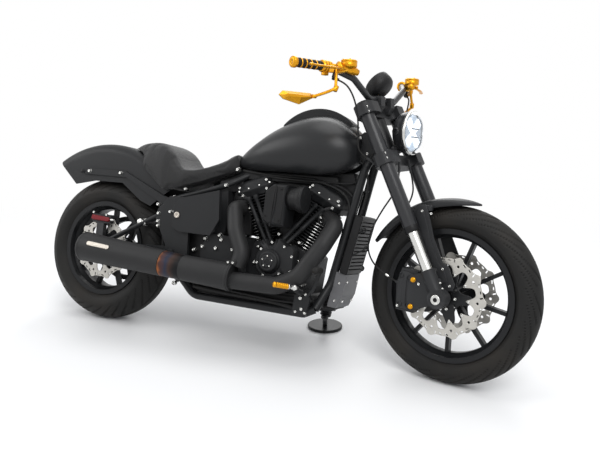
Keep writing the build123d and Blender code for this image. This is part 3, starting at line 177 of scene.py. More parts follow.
def makeStudio():
    light = {
        "key": {"place": (2.6, -3.4, 4.6), "size": 3.4, "power": 165.0},
        "side": {"place": (-4.0, -2.2, 3.0), "size": 3.0, "power": 70.0},
        "rim": {"place": (-1.0, 4.2, 3.6), "size": 3.2, "power": 90.0},
        "overhead": {"place": (0.2, 0.2, 5.2), "size": 4.0, "power": 90.0},
    }
    for name, values in light.items():
        data = bpy.data.lights.new(name, "AREA")
        data.shape = "DISK"
        data.size = values["size"]
        data.energy = values["power"]
        lamp = bpy.data.objects.new(name, data)
        lamp.location = values["place"]
        lamp.rotation_euler = (Vector((0, 0, 0.5)) - lamp.location).to_track_quat("-Z", "Y").to_euler()
        bpy.context.scene.collection.objects.link(lamp)
    world = bpy.data.worlds.new("studio")
    bpy.context.scene.world = world
    world.use_nodes = True
    tree = world.node_tree
    output = tree.nodes["World Output"]
    soft = tree.nodes["Background"]
    soft.inputs["Color"].default_value = (0.92, 0.95, 1.0, 1)
    soft.inputs["Strength"].default_value = 0.42
    white = node(tree, "ShaderNodeBackground", {"Color": (1, 1, 1, 1), "Strength": 1.0})
    path = node(tree, "ShaderNodeLightPath")
    mix = node(tree, "ShaderNodeMixShader")
    # seen directly, in a reflection or through glass, the studio is white
    seen = node(tree, "ShaderNodeMath", operation="ADD")
    through = node(tree, "ShaderNodeMath", operation="ADD", use_clamp=True)
    link(path.outputs["Is Camera Ray"], seen.inputs[0])
    link(path.outputs["Is Glossy Ray"], seen.inputs[1])
    link(seen.outputs[0], through.inputs[0])
    link(path.outputs["Is Transmission Ray"], through.inputs[1])
    link(through.outputs[0], mix.inputs[0])
    link(soft.outputs[0], mix.inputs[1])
    link(white.outputs[0], mix.inputs[2])
    link(mix.outputs[0], output.inputs["Surface"])


def makeFloor():
    size = 9.0
    steps = np.linspace(-size, size, 3)
    x, y = np.meshgrid(steps, steps, indexing="ij")
    points = np.stack((x, y, np.zeros_like(x)), -1)
    floor = gridPiece("floor", points, None, None)
    material, tree, shader = newMaterial("floorWhite")
    shader.inputs["Base Color"].default_value = (0.93, 0.93, 0.93, 1)
    shader.inputs["Roughness"].default_value = 0.6
    shader.inputs["Specular IOR Level"].default_value = 0.2
    # A faint white lift towards the far edge, so that the floor meets the white studio without a line.
    place = node(tree, "ShaderNodeTexCoord")
    middle = node(tree, "ShaderNodeVectorMath", operation="LENGTH")
    fade = node(tree, "ShaderNodeMapRange", {"From Min": 1.6, "From Max": 3.4})
    glow = node(tree, "ShaderNodeEmission")
    mix = node(tree, "ShaderNodeMixShader")
    link(place.outputs["Object"], middle.inputs[0])
    link(middle.outputs["Value"], fade.inputs["Value"])
    link(fade.outputs["Result"], mix.inputs[0])
    link(shader.outputs[0], mix.inputs[1])
    link(glow.outputs[0], mix.inputs[2])
    link(mix.outputs[0], tree.nodes["Material Output"].inputs["Surface"])
    floor.data.materials.append(material)


# Making meshes from whole arrays
def addPiece(name, points, faces, body, material, smooth=True):
    # mesh piece from an array of points and an array of faces, in metres
    mesh = bpy.data.meshes.new(name)
    mesh.from_pydata(np.asarray(points, float).reshape(-1, 3).tolist(), [], [tuple(f) for f in faces])
    mesh.polygons.foreach_set("use_smooth", np.full(len(mesh.polygons), smooth))
    mesh.update()
    piece = bpy.data.objects.new(name, mesh)
    bpy.context.scene.collection.objects.link(piece)
    if material:
        mesh.materials.append(material)
    if body:
        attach(piece, body)
    return piece


def gridFaces(rows, columns, closeRows=False, closeColumns=False, start=0):
    # quads between neighbouring rows and columns of a grid, wrapped where it closes
    i, j = np.meshgrid(
        np.arange(rows if closeRows else rows - 1),
        np.arange(columns if closeColumns else columns - 1),
        indexing="ij",
    )
    i2 = (i + 1) % rows
    j2 = (j + 1) % columns
    quads = np.stack((i * columns + j, i2 * columns + j, i2 * columns + j2, i * columns + j2), -1)
    return quads.reshape(-1, 4) + start


def gridPiece(name, points, body, material, closeRows=False, closeColumns=False):
    rows, columns = points.shape[:2]
    faces = gridFaces(rows, columns, closeRows, closeColumns)
    return addPiece(name, points.reshape(-1, 3), faces, body, material)


def gatherPiece(name, parts, body, material):
    # one piece from several pairs of points and faces
    points, faces, start = [], [], 0
    for partPoints, partFaces in parts:
        partPoints = np.asarray(partPoints, float).reshape(-1, 3)
        points.append(partPoints)
        faces += [tuple(index + start for index in face) for face in partFaces]
        start += len(partPoints)
    return addPiece(name, np.concatenate(points), faces, body, material)


def frameParts(name, parts, material, stands=None, body="frame", steered=False):
    # one piece from parts in the upright machine's millimetres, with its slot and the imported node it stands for
    piece = gatherPiece(name, [(placed(p, steered), f) for p, f in parts], body, material)
    if stands:
        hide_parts(stands)
    return piece


def forkParts(name, parts, material, stands=None):
    return frameParts(name, parts, material, stands, "fork", True)


def sideways(direction):  # two unit vectors square to a direction
    direction = unit(direction)
    helper = np.where(np.abs(direction[..., 2:3]) < 0.9, (0.0, 0.0, 1.0), (1.0, 0.0, 0.0))
    first = unit(np.cross(helper, direction))
    return first, np.cross(direction, first)


def turned(profile, foot, axis, segments=48):
    # surface of revolution: each (along, radius) of the profile carried round an axis through foot
    profile = np.asarray(profile, float)
    axis = unit(axis)
    first, second = sideways(axis)
    angle = np.linspace(0, 2 * np.pi, segments, endpoint=False)
    ring = np.cos(angle)[:, None] * first + np.sin(angle)[:, None] * second
    points = np.asarray(foot, float) + profile[:, 0, None, None] * axis + profile[:, 1, None, None] * ring
    return points.reshape(-1, 3), gridFaces(len(profile), segments, False, True)


def tube(path, radius, segments=16, capped=True):
    # tube: circles square to the tangents of the path, kept level by one fixed side vector
    path = np.asarray(path, float)
    radius = np.broadcast_to(np.asarray(radius, float), len(path))
    tangent = unit(np.gradient(path, axis=0))
    spread = unit(path[-1] - path[0] + 1e-9)
    helper = np.eye(3)[np.argmin(np.abs(tangent).max(0) + np.abs(spread) * 0.01)]
    first = unit(np.cross(tangent, helper))
    second = np.cross(tangent, first)
    angle = np.linspace(0, 2 * np.pi, segments, endpoint=False)
    ring = np.cos(angle)[:, None, None] * first + np.sin(angle)[:, None, None] * second
    points = (path + radius[:, None] * ring).transpose(1, 0, 2)
    faces = [tuple(f) for f in gridFaces(len(path), segments, False, True)[:, ::-1]]
    points = points.reshape(-1, 3)
    if capped:
        last = len(path) * segments
        points = np.concatenate((points, path[:1], path[-1:]))
        around = np.arange(segments)
        after = (around + 1) % segments
        faces += [(a, b, last) for a, b in zip(around, after)]
        faces += [(b + last - segments, a + last - segments, last + 1) for a, b in zip(around, after)]
    return points, faces


def smoothLine(points, count=64, degree=3):
    # points along a clamped B-spline: the basis is built up order by order for all points at once
    control = np.asarray(points, float)
    degree = min(degree, len(control) - 1)
    inner = np.linspace(0, 1, len(control) - degree + 1)
    knots = np.concatenate((np.zeros(degree), inner, np.ones(degree)))
    t = np.linspace(0, 1 - 1e-9, count)[:, None]
    basis = ((knots[:-1] <= t) & (t < knots[1:])).astype(float)
    for order in range(1, degree + 1):
        low, high = knots[: -order - 1], knots[order + 1 :]
        empty = np.zeros_like(basis[:, :-1])
        left = np.divide(t - low, knots[order:-1] - low, out=empty.copy(), where=knots[order:-1] > low)
        right = np.divide(high - t, high - knots[1:-order], out=empty, where=high > knots[1:-order])
        basis = left * basis[:, :-1] + right * basis[:, 1:]
    return basis @ control


boltHead = {"shrink": 0.86, "crown": 0.86}  # drawn radius over the radius asked for, and the top's over the foot's


def bolt(foot, axis, radius, height, sides=6, socket=True):
    # bolt head: a prism with a chamfered rim and, where asked, a hollow in its top
    radius = boltHead["shrink"] * radius
    turn = radius if sides > 6 else radius * 1.05
    profile = [(0, turn), (height * 0.8, turn), (height, turn * boltHead["crown"])]
    hollow = [(height, turn * 0.5), (height * 0.45, turn * 0.5), (height * 0.45, 0.0)]
    profile += hollow if socket else [(height, 0.0)]
    return turned(profile, foot, axis, sides if sides > 6 else 12)


def sideBolts(places, left, radius, height, foot=(0, 0, 0), sides=20):
    # bolt heads that face out of the machine's side, at each (x, z) from foot
    return [bolt(np.array(foot) + (x, left, z), leftWay * np.sign(left), radius, height, sides) for x, z in places]


def softened(name, width=1.2, segments=2, angle=32.0, material=None):
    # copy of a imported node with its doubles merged, flat triangles joined and its edges rounded
    source = nodes[name]
    made = bmesh.new()
    made.from_mesh(source.data)
    bmesh.ops.remove_doubles(made, verts=made.verts, dist=2e-6)
    bmesh.ops.dissolve_limit(
        made, angle_limit=math.radians(0.6), verts=made.verts, edges=made.edges, use_dissolve_boundaries=False
    )
    mesh = bpy.data.meshes.new(name + "Soft")
    made.to_mesh(mesh)
    made.free()
    mesh.polygons.foreach_set("use_smooth", np.ones(len(mesh.polygons), bool))
    mesh.set_sharp_from_angle(angle=math.radians(angle))
    piece = bpy.data.objects.new(name + "Soft", mesh)
    bpy.context.scene.collection.objects.link(piece)
    if width:
        bevel = piece.modifiers.new("rounded", "BEVEL")
        bevel.width = width * 0.001
        bevel.segments = segments
        bevel.limit_method = "ANGLE"
        bevel.angle_limit = math.radians(angle)
        bevel.use_clamp_overlap = True
        bevel.harden_normals = True
    mesh.materials.append(material)
    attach(piece, body_of(source)[0])
    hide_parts(name)
    return piece


def coated(name, colour, roughness, metallic=0.0, grain=(700.0, 0.05), cloud=(9.0, 0.14), coat=0.0, worn=0.0,
           shine=0.22):
    # paint or metal: cloudy noise shifts colour and roughness, fine noise gives the bump, corners wear paler
    material, tree, shader = newMaterial(name)
    place = node(tree, "ShaderNodeTexCoord")
    clouds = node(tree, "ShaderNodeTexNoise", {"Scale": cloud[0], "Detail": 5.0})
    link(place.outputs["Object"], clouds.inputs["Vector"])
    shade = node(tree, "ShaderNodeMix", {
        6: (*[c * (1 - cloud[1]) for c in colour], 1),
        7: (*[min(1.0, c * (1 + cloud[1])) for c in colour], 1),
    }, data_type="RGBA")
    link(clouds.outputs["Fac"], shade.inputs["Factor"])
    shown = shade.outputs[2]
    if worn:
        shape = node(tree, "ShaderNodeNewGeometry")
        corner = node(tree, "ShaderNodeMapRange", {"From Min": 0.54, "From Max": 0.66, "To Max": worn})
        rubbed = node(tree, "ShaderNodeMix", {7: (*[min(1.0, c * 2.0 + 0.06) for c in colour], 1)}, data_type="RGBA")
        link(shape.outputs["Pointiness"], corner.inputs["Value"])
        link(corner.outputs["Result"], rubbed.inputs["Factor"])
        link(shown, rubbed.inputs[6])
        shown = rubbed.outputs[2]
    link(shown, shader.inputs["Base Color"])
    gloss = node(tree, "ShaderNodeMapRange", {
        "To Min": max(0.03, roughness - 0.07),
        "To Max": min(1.0, roughness + 0.07),
    })
    link(clouds.outputs["Fac"], gloss.inputs["Value"])
    link(gloss.outputs["Result"], shader.inputs["Roughness"])
    fine = node(tree, "ShaderNodeTexNoise", {"Scale": grain[0], "Detail": 3.0})
    bump = node(tree, "ShaderNodeBump", {"Strength": grain[1], "Distance": 0.0006})
    link(place.outputs["Object"], fine.inputs["Vector"])
    link(fine.outputs["Fac"], bump.inputs["Height"])
    link(bump.outputs["Normal"], shader.inputs["Normal"])
    shader.inputs["Metallic"].default_value = metallic
    shader.inputs["Specular IOR Level"].default_value = shine
    shader.inputs["Coat Weight"].default_value = coat
    shader.inputs["Coat Roughness"].default_value = 0.12
    return material


def rubberFinish(name, colour, dusty):
    # rubber: brown dust in the low frequencies, small pits in the bump
    material = coated(name, colour, 0.62, grain=(420.0, 0.25), cloud=(26.0, 0.22))
    tree, shader, place = opened(material)
    dust = node(tree, "ShaderNodeTexNoise", {"Scale": 5.0, "Detail": 8.0})
    ramp = node(tree, "ShaderNodeValToRGB")
    ramp.color_ramp.elements[0].position = 0.42
    ramp.color_ramp.elements[1].position = 0.68
    ramp.color_ramp.elements[0].color = (0, 0, 0, 1)
    ramp.color_ramp.elements[1].color = (0.55, 0.55, 0.55, 1)
    brown = node(tree, "ShaderNodeMix", {7: (*dusty, 1)}, data_type="RGBA")
    before = shader.inputs["Base Color"].links[0].from_socket
    link(place.outputs["Object"], dust.inputs["Vector"])
    link(dust.outputs["Fac"], ramp.inputs["Fac"])
    link(ramp.outputs["Color"], brown.inputs["Factor"])
    link(before, brown.inputs[6])
    link(brown.outputs[2], shader.inputs["Base Color"])
    return material


def grainedLeather(name, colour, roughness, scale):
    # vinyl grain: cells with soft creases between them over a fine noise
    material = coated(name, colour, roughness, grain=(900.0, 0.12), cloud=(14.0, 0.16))
    tree, shader, place = opened(material)
    cells = node(tree, "ShaderNodeTexVoronoi", {"Scale": scale}, feature="DISTANCE_TO_EDGE")
    crease = node(tree, "ShaderNodeMapRange", {"From Max": 0.16})
    bump = node(tree, "ShaderNodeBump", {"Strength": 0.35, "Distance": 0.0008})
    before = shader.inputs["Normal"].links[0].from_socket
    link(place.outputs["Object"], cells.inputs["Vector"])
    link(cells.outputs["Distance"], crease.inputs["Value"])
    link(crease.outputs["Result"], bump.inputs["Height"])
    link(before, bump.inputs["Normal"])
    link(bump.outputs["Normal"], shader.inputs["Normal"])
    shader.inputs["Sheen Weight"].default_value = 0.08
    return material


def heatTinted(name, start, axis, length):
    # bare pipe coloured by its heat: copper, violet and blue follow each other from its start, over a length in metres
    material = coated(name, (0.42, 0.2, 0.09), 0.38, metallic=0.6, grain=(500.0, 0.06))
    tree, shader, place = opened(material)
    reach = node(tree, "ShaderNodeVectorMath", {1: tuple(float(v) for v in axis)}, operation="DOT_PRODUCT")
    heat = node(tree, "ShaderNodeMath", {
        1: 1 / length,
        2: -float(np.dot(start, axis)) / length,
    }, operation="MULTIPLY_ADD")
    wander = node(tree, "ShaderNodeTexNoise", {"Scale": 24.0})
    spread = node(tree, "ShaderNodeMath", {1: 0.36}, operation="MULTIPLY_ADD")
    ramp = node(tree, "ShaderNodeValToRGB")
    stops = ((0.0, (0.36, 0.125, 0.036)), (0.16, (0.30, 0.10, 0.032)), (0.27, (0.075, 0.035, 0.028)),
             (0.5, (0.022, 0.030, 0.052)), (0.74, (0.050, 0.030, 0.024)), (1.0, (0.010, 0.010, 0.011)))
    for index, (position, colour) in enumerate(stops):
        if index > 1:
            ramp.color_ramp.elements.new(position)
    for element, (position, colour) in zip(ramp.color_ramp.elements, stops):
        element.position = position
    for element, (position, colour) in zip(ramp.color_ramp.elements, stops):
        element.color = (*colour, 1)
    link(place.outputs["Object"], wander.inputs["Vector"])
    link(wander.outputs["Fac"], spread.inputs[0])
    link(place.outputs["Object"], reach.inputs[0])
    link(reach.outputs["Value"], heat.inputs[0])
    link(heat.outputs[0], spread.inputs[2])
    link(spread.outputs[0], ramp.inputs["Fac"])
    link(ramp.outputs["Color"], shader.inputs["Base Color"])
    return material


def clearGlass(name):
    material, tree, shader = newMaterial(name)
    place = node(tree, "ShaderNodeTexCoord")
    smear = node(tree, "ShaderNodeTexNoise", {"Scale": 18.0})
    gloss = node(tree, "ShaderNodeMapRange", {"To Min": 0.01, "To Max": 0.06})
    link(place.outputs["Object"], smear.inputs["Vector"])
    link(smear.outputs["Fac"], gloss.inputs["Value"])
    link(gloss.outputs["Result"], shader.inputs["Roughness"])
    shader.inputs["Base Color"].default_value = (0.93, 0.96, 1.0, 1)
    shader.inputs["Transmission Weight"].default_value = 1.0
    shader.inputs["IOR"].default_value = 1.12
    return material


def glowing(name, colour, strength):
    material = coated(name, colour, 0.3)
    shader = material.node_tree.nodes["Principled BSDF"]
    shader.inputs["Emission Color"].default_value = (*colour, 1)
    shader.inputs["Emission Strength"].default_value = strength
    return material


makeCamera()
makeStudio()
makeFloor()
bpy.context.scene.view_settings.view_transform = "Standard"
print("camera, studio and floor made")

satinBlack = coated("satinBlack", (0.012, 0.0125, 0.0135), 0.4, worn=0.2)
matteBlack = coated("matteBlack", (0.014, 0.0145, 0.0155), 0.44, grain=(900.0, 0.08))
tankBlack = coated("tankBlack", (0.013, 0.0135, 0.0145), 0.36, grain=(1200.0, 0.04), cloud=(5.0, 0.08), shine=0.3)
wrinkleBlack = coated("wrinkleBlack", (0.012, 0.0125, 0.0135), 0.5, grain=(520.0, 0.35), worn=0.3)
castBlack = coated("castBlack", (0.009, 0.0095, 0.0105), 0.36, grain=(600.0, 0.12), worn=0.2)
exhaustBlack = coated("exhaustBlack", (0.02, 0.02, 0.0205), 0.5, grain=(650.0, 0.2), cloud=(12.0, 0.2))
blackPlastic = coated("blackPlastic", (0.008, 0.008, 0.0085), 0.46, grain=(800.0, 0.3))
clampBlack = coated("clampBlack", (0.022, 0.0225, 0.024), 0.5, grain=(700.0, 0.3), worn=0.2)
forkBlack = coated("forkBlack", (0.022, 0.0225, 0.0245), 0.32, grain=(900.0, 0.06), shine=0.35)
greyPlastic = coated("greyPlastic", (0.13, 0.13, 0.135), 0.42, grain=(800.0, 0.2))
brightSteel = coated("brightSteel", (0.62, 0.62, 0.60), 0.22, metallic=1.0, grain=(400.0, 0.05))
discSteel = coated("discSteel", (0.50, 0.485, 0.45), 0.4, metallic=0.7, grain=(300.0, 0.18), cloud=(30.0, 0.2))
machinedEdge = coated("machinedEdge", (0.60, 0.60, 0.59), 0.3, metallic=1.0, grain=(500.0, 0.1))
goldAnodised = coated("goldAnodised", (0.66, 0.30, 0.012), 0.3, metallic=0.75, grain=(500.0, 0.06), worn=0.3)
redCaliper = coated("redCaliper", (0.17, 0.008, 0.013), 0.4, coat=0.2)
tyreRubber = rubberFinish("tyreRubber", (0.010, 0.0098, 0.0094), (0.024, 0.020, 0.016))
hoseRubber = rubberFinish("hoseRubber", (0.009, 0.009, 0.0095), (0.016, 0.015, 0.013))
seatVinyl = grainedLeather("seatVinyl", (0.010, 0.010, 0.0105), 0.5, 520.0)
lampGlass = clearGlass("lampGlass")
ledWhite = glowing("ledWhite", (0.9, 0.95, 1.0), 0.75)
reflector = coated("reflector", (0.62, 0.65, 0.68), 0.18, metallic=1.0)
badgePlate = coated("badgePlate", (0.48, 0.44, 0.39), 0.4, metallic=0.7, grain=(260.0, 0.2))
print("materials made")

# brake and clutch hoses on the right of the fork; those on the left are their mirror images
hoses = {
    "radius": 0.00325,  # metres, as are the routes, on the upright machine with its steering straight
    "upper": (
        (1.219, -0.284, 1.117), (1.240, -0.266, 1.109), (1.254, -0.236, 1.078), (1.260, -0.206, 1.030),
        (1.261, -0.186, 0.972), (1.256, -0.172, 0.914), (1.259, -0.165, 0.857), (1.286, -0.146, 0.838),
    ),
    "lower": (
        (1.380, -0.052, 0.790), (1.388, -0.066, 0.745), (1.378, -0.088, 0.700), (1.345, -0.104, 0.640),
        (1.310, -0.116, 0.560), (1.305, -0.124, 0.493), (1.319, -0.124, 0.455), (1.343, -0.124, 0.427),
        (1.381, -0.120, 0.403), (1.404, -0.112, 0.388), (1.426, -0.104, 0.376),
    ),
    "lengths": {"upper": 0.344, "lower": 0.499},
}


def makeHose(name, which, side):
    route = placed(np.array(hoses[which]) * (1000, 1000 * side, 1000), True)
    data = bpy.data.curves.new(name, "CURVE")
    data.dimensions = "3D"
    data.bevel_depth = hoses["radius"]
    data.bevel_resolution = 5
    data.resolution_u = 10
    data.use_fill_caps = True
    line = data.splines.new("NURBS")
    line.points.add(len(route) - 1)
    line.points.foreach_set("co", np.column_stack((route, np.ones(len(route)))).ravel())
    line.order_u = 3
    line.use_endpoint_u = True
    piece = bpy.data.objects.new(name + ".hose", data)
    bpy.context.scene.collection.objects.link(piece)
    data.materials.append(hoseRubber)
    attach(piece, "fork")
    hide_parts(name)


for name, which, side in (("brake_hose_upper", "upper", 1), ("clutch_hose", "upper", -1),
                          ("brake_hose_right", "lower", 1), ("brake_hose_left", "lower", -1)):
    makeHose(name, which, side)
print("hoses made")

# Wheels: tyres with cut tread, wave discs on star carriers
def cutPlate(loops, foot, along, up, thickness, edge=0.5):
    # flat plate from an outline and its holes, each a closed loop of (along, up), with its edges eased
    curve = bpy.data.curves.new("outline", "CURVE")
    curve.dimensions = "2D"
    curve.fill_mode = "BOTH"
    for loop in loops:
        loop = np.asarray(loop, float)
        spline = curve.splines.new("POLY")
        spline.points.add(len(loop) - 1)
        spline.points.foreach_set("co", np.column_stack((loop, np.zeros(len(loop)), np.ones(len(loop)))).ravel())
        spline.use_cyclic_u = True
    curve.extrude = thickness / 2 - edge
    curve.bevel_depth = edge
    curve.bevel_resolution = 0
    curve.offset = -edge
    holder = bpy.data.objects.new("outline", curve)
    mesh = bpy.data.meshes.new_from_object(holder)
    local = np.empty(len(mesh.vertices) * 3)
    mesh.vertices.foreach_get("co", local)
    faces = [tuple(polygon.vertices) for polygon in mesh.polygons]
    bpy.data.objects.remove(holder)
    bpy.data.curves.remove(curve)
    bpy.data.meshes.remove(mesh)
    axes = np.stack((unit(along), unit(up), np.cross(unit(along), unit(up))))
    return np.asarray(foot, float) + local.reshape(-1, 3) @ axes, faces


def sidePlate(loops, foot, thickness, edge=0.5):  # cutPlate in the machine's side plane
    return cutPlate(loops, foot, aheadWay, skyWay, thickness, edge)


def ringLoop(radius, middle=(0.0, 0.0), count=24, squash=1.0, turn=0.0):
    # closed loop round a circle, or a slot when squashed
    angle = np.linspace(0, 2 * np.pi, count, endpoint=False)
    x, y = radius * np.cos(angle), radius * np.sin(angle) * squash
    c, s = math.cos(turn), math.sin(turn)
    return np.column_stack((middle[0] + c * x - s * y, middle[1] + s * x + c * y))


def slotLoop(length, width, middle, turn, count=8):
    # closed loop of a slot: two half circles joined by straight sides
    angle = np.linspace(-np.pi / 2, np.pi / 2, count)
    half = (length - width) / 2
    right = np.column_stack((half + width / 2 * np.cos(angle), width / 2 * np.sin(angle)))
    loop = np.concatenate((right, -right))
    c, s = math.cos(turn), math.sin(turn)
    return loop @ np.array(((c, s), (-s, c))) + np.asarray(middle, float)


tyreSizes = {
    "front": {"hub": frontHub, "radius": 340.5, "width": 110.0, "bulge": 292.0, "bead": 241.5, "beadHalf": 38.0,
              "flange": 254.0, "cuts": 16, "sweep": 0.62, "groove": 7.5, "depth": 6.0, "reach": (0.08, 0.94)},
    "rear": {"hub": rearHub, "radius": 329.0, "width": 180.0, "bulge": 264.4, "bead": 203.5, "beadHalf": 66.0,
             "flange": 217.0, "cuts": 16, "sweep": 0.5, "groove": 7.5, "depth": 6.0, "reach": (0.14, 0.95)},
}


def makeTyre(which, steered, body):
    # ring: crown arc through both shoulders, sidewall arcs down to the beads; the tread is cut by lowering
    # the crown along swept lines, angle = step + sweep * |s|^1.4, s from 0 at the middle to 1 at the shoulder
    size = tyreSizes[which]
    half, bulge, top = size["width"] / 2, size["bulge"], size["radius"]
    rise = top - bulge
    crown = (half**2 + rise**2) / (2 * rise)
    sweepAngle = math.asin(min(1.0, half / crown)) if crown > half else math.pi / 2
    if rise > half:
        sweepAngle = math.pi - sweepAngle
    s = np.linspace(-1, 1, 47)
    crownLeft = crown * np.sin(s * sweepAngle)
    crownUp = top - crown + crown * np.cos(s * sweepAngle)
    drop = bulge - size["flange"] - 2
    inset = half - size["beadHalf"]
    wall = (inset**2 + drop**2) / (2 * inset)
    t = np.linspace(0, 1, 10)[1:] * math.asin(min(1.0, drop / wall))
    wallLeft = half - wall + wall * np.cos(t)
    wallUp = bulge - wall * np.sin(t)
    rib = np.exp(-(((np.arange(9) - 4.0) / 0.8) ** 2)) * 1.2
    wallLeft = wallLeft + rib
    beadLeft, beadUp = np.array((size["beadHalf"], 0.0)), np.array((size["bead"], size["bead"]))
    left = np.concatenate((crownLeft, wallLeft, beadLeft, -beadLeft[:1], -wallLeft[::-1]))
    up = np.concatenate((crownUp, wallUp, beadUp, beadUp[:1], wallUp[::-1]))
    around = 960
    angle = np.linspace(0, 2 * np.pi, around, endpoint=False)
    step = 2 * np.pi / size["cuts"]
    depth = np.zeros((around, len(left)))
    side = np.abs(s)
    sweep = size["sweep"] * side**1.4
    for sign in (-1, 1):
        onSide = (s * sign > 0) & (side > size["reach"][0]) & (side < size["reach"][1])
        for shift, low, high in ((0.0, 0.0, 1.0), (0.5, 0.38, 0.92)):
            phase = angle[:, None] - sweep[None, :] - step * (shift + 0.25 * sign)
            away = np.abs((phase + step / 2) % step - step / 2) * top
            within = onSide & (side >= low) & (side <= high)
            fade = np.clip(1.25 - side, 0.3, 1.0)
            cut = 1 - np.clip(away / (size["groove"] * fade[None, :]), 0, 1) ** 3
            depth[:, : len(s)] = np.maximum(depth[:, : len(s)], cut * within[None, :])
    centreLine = np.zeros(len(s))
    if which == "rear":
        centreLine = (np.abs(side * half - 15) < 3.2).astype(float)
    depth[:, : len(s)] = np.maximum(depth[:, : len(s)], centreLine[None, :]) * size["depth"]
    normalLeft = np.concatenate((np.sin(s * sweepAngle), np.zeros(len(left) - len(s))))
    normalUp = np.concatenate((np.cos(s * sweepAngle), np.zeros(len(left) - len(s))))
    shownLeft = left[None, :] - depth * normalLeft[None, :]
    shownUp = up[None, :] - depth * normalUp[None, :]
    hub = size["hub"]
    turn = angle[:, None]
    points = np.stack((hub[0] + shownUp * np.cos(turn), shownLeft, hub[2] + shownUp * np.sin(turn)), -1)
    faces = gridFaces(around, len(left), True, True)
    tyre = addPiece(which + "Tyre", placed(points, steered), faces, body, tyreRubber)
    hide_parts(which + "_tyre")


makeTyre("front", True, "front_wheel")
makeTyre("rear", False, "rear_wheel")

discSizes = {
    "frontRight": {"hub": frontHub, "left": -68.0, "radius": 160.0, "steered": True, "body": "front_wheel"},
    "frontLeft": {"hub": frontHub, "left": 68.0, "radius": 160.0, "steered": True, "body": "front_wheel"},
    "rear": {"hub": rearHub, "left": -76.0, "radius": 146.0, "steered": False, "body": "rear_wheel"},
}
waveDisc = {"lobes": 10, "dip": 13.0, "band": 38.0, "finger": 38.0, "thickness": 4.6, "carrier": 5.4}


def makeDisc(name, spec):
    # rotor edge = R - dip * a skewed cosine of ten lobes; inside, ten fingers reach in to the carrier's buttons
    lobes, radius = waveDisc["lobes"], spec["radius"]
    angle = np.linspace(0, 2 * np.pi, 400, endpoint=False)
    wave = 0.5 + 0.5 * np.cos(lobes * angle + 1.1 * np.sin(lobes * angle))
    outer = radius - waveDisc["dip"] * (1 - wave) ** 1.4
    reach = np.abs(np.cos(lobes * angle / 2 + 0.15)) ** 4
    inner = radius - waveDisc["band"] - waveDisc["finger"] * reach
    loops = [
        np.column_stack((outer * np.cos(angle), outer * np.sin(angle))),
        np.column_stack((inner * np.cos(angle), inner * np.sin(angle)))[::-1],
    ]
    buttons = []
    for index in range(lobes):
        a = 2 * np.pi * (index + 0.5 - 0.05) / lobes + np.pi / lobes
        tip = radius - waveDisc["band"] - waveDisc["finger"] + 9
        buttons.append((tip * math.cos(a), tip * math.sin(a)))
        loops.append(ringLoop(3.0, buttons[-1], 12)[::-1])
        loops.append(ringLoop(5.2, ((tip + 34) * math.cos(a), (tip + 34) * math.sin(a)), 16)[::-1])
        for shift, out, turn, length in ((0.15, 19, 0.25, 14), (-0.15, 19, 1.2, 15), (0.3, 20, 1.4, 12)):
            b = a + shift
            r = radius - out
            loops.append(slotLoop(length, 5.0, (r * math.cos(b), r * math.sin(b)), b + turn)[::-1])
    foot = spec["hub"] + np.array((0, spec["left"], 0))
    points, faces = sidePlate(loops, foot, waveDisc["thickness"])
    rotor = addPiece(name + "Rotor", placed(points, spec["steered"]), faces, spec["body"], discSteel, smooth=False)
    side = 1 if spec["left"] > 0 else -1
    star = 58 + 50 * (0.5 + 0.5 * np.cos(5 * angle)) ** 1.3 - 8 * (0.5 - 0.5 * np.cos(10 * angle)) ** 3
    star = star * (radius / 160.0)
    loops = [np.column_stack((star * np.cos(angle), star * np.sin(angle))), ringLoop(30.0, count=40)[::-1]]
    for index in range(5):
        a = 2 * np.pi * (index + 0.5) / 5
        loops.append(ringLoop(8.0, (50 * math.cos(a), 50 * math.sin(a)), 16, 0.8, a)[::-1])
    inward = -side * (waveDisc["thickness"] + waveDisc["carrier"]) / 2
    carrierFoot = foot + np.array((0, inward * 0.6, 0))
    plates = [sidePlate(loops, carrierFoot, waveDisc["carrier"] + 4, 0.8)]
    frameParts(name + "Carrier", plates, castBlack, body=spec["body"], steered=spec["steered"])
    heads = []
    for index in range(5):
        a = 2 * np.pi * index / 5
        place = foot + np.array((44 * math.cos(a), side * 5, 44 * math.sin(a)))
        heads.append(bolt(place, (0, side, 0), 6.5, 6.0))
    for x, z in buttons:
        heads.append(bolt(foot + np.array((x, side * 1.5, z)), (0, side, 0), 6.0, 3.0, 20, False))
    frameParts(name + "DiscBolts", heads, brightSteel, body=spec["body"], steered=spec["steered"])
    return rotor


rotors = {name: makeDisc(name, spec) for name, spec in discSizes.items()}
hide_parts("front_discs")
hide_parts("rear_disc")
print("wheels made")

# Engine: finned cylinders, rocker boxes, timing cover with its pushrod tubes, bolts on the right side
engine = {
    "crank": (905.0, 292.0),
    "leanFront": math.radians(25.0),
    "leanRear": math.radians(21.0),
    "deck": 182.0,
    "barrel": 190.0,
    "fins": 15,
    "finHalfDepth": 66.0,
    "finHalfWidth": 82.0,
    "finRound": 34.0,
    "core": 53.0,
    "rockerHalfDepth": 92.0,
    "rockerHalfWidth": 86.0,
    "rockerHeight": 78.0,
}


def onCylinder(lean, height, along, left):  # a point by its distance up the cylinder, along and to the left
    up = np.array((math.sin(lean), 0.0, math.cos(lean)))
    forward = np.array((math.cos(lean), 0.0, -math.sin(lean)))
    height, along, left = np.broadcast_arrays(*[np.asarray(v, float) for v in (height, along, left)])
    crank = np.array((engine["crank"][0], 0.0, engine["crank"][1]))
    return crank + height[..., None] * up + along[..., None] * forward + left[..., None] * leftWay


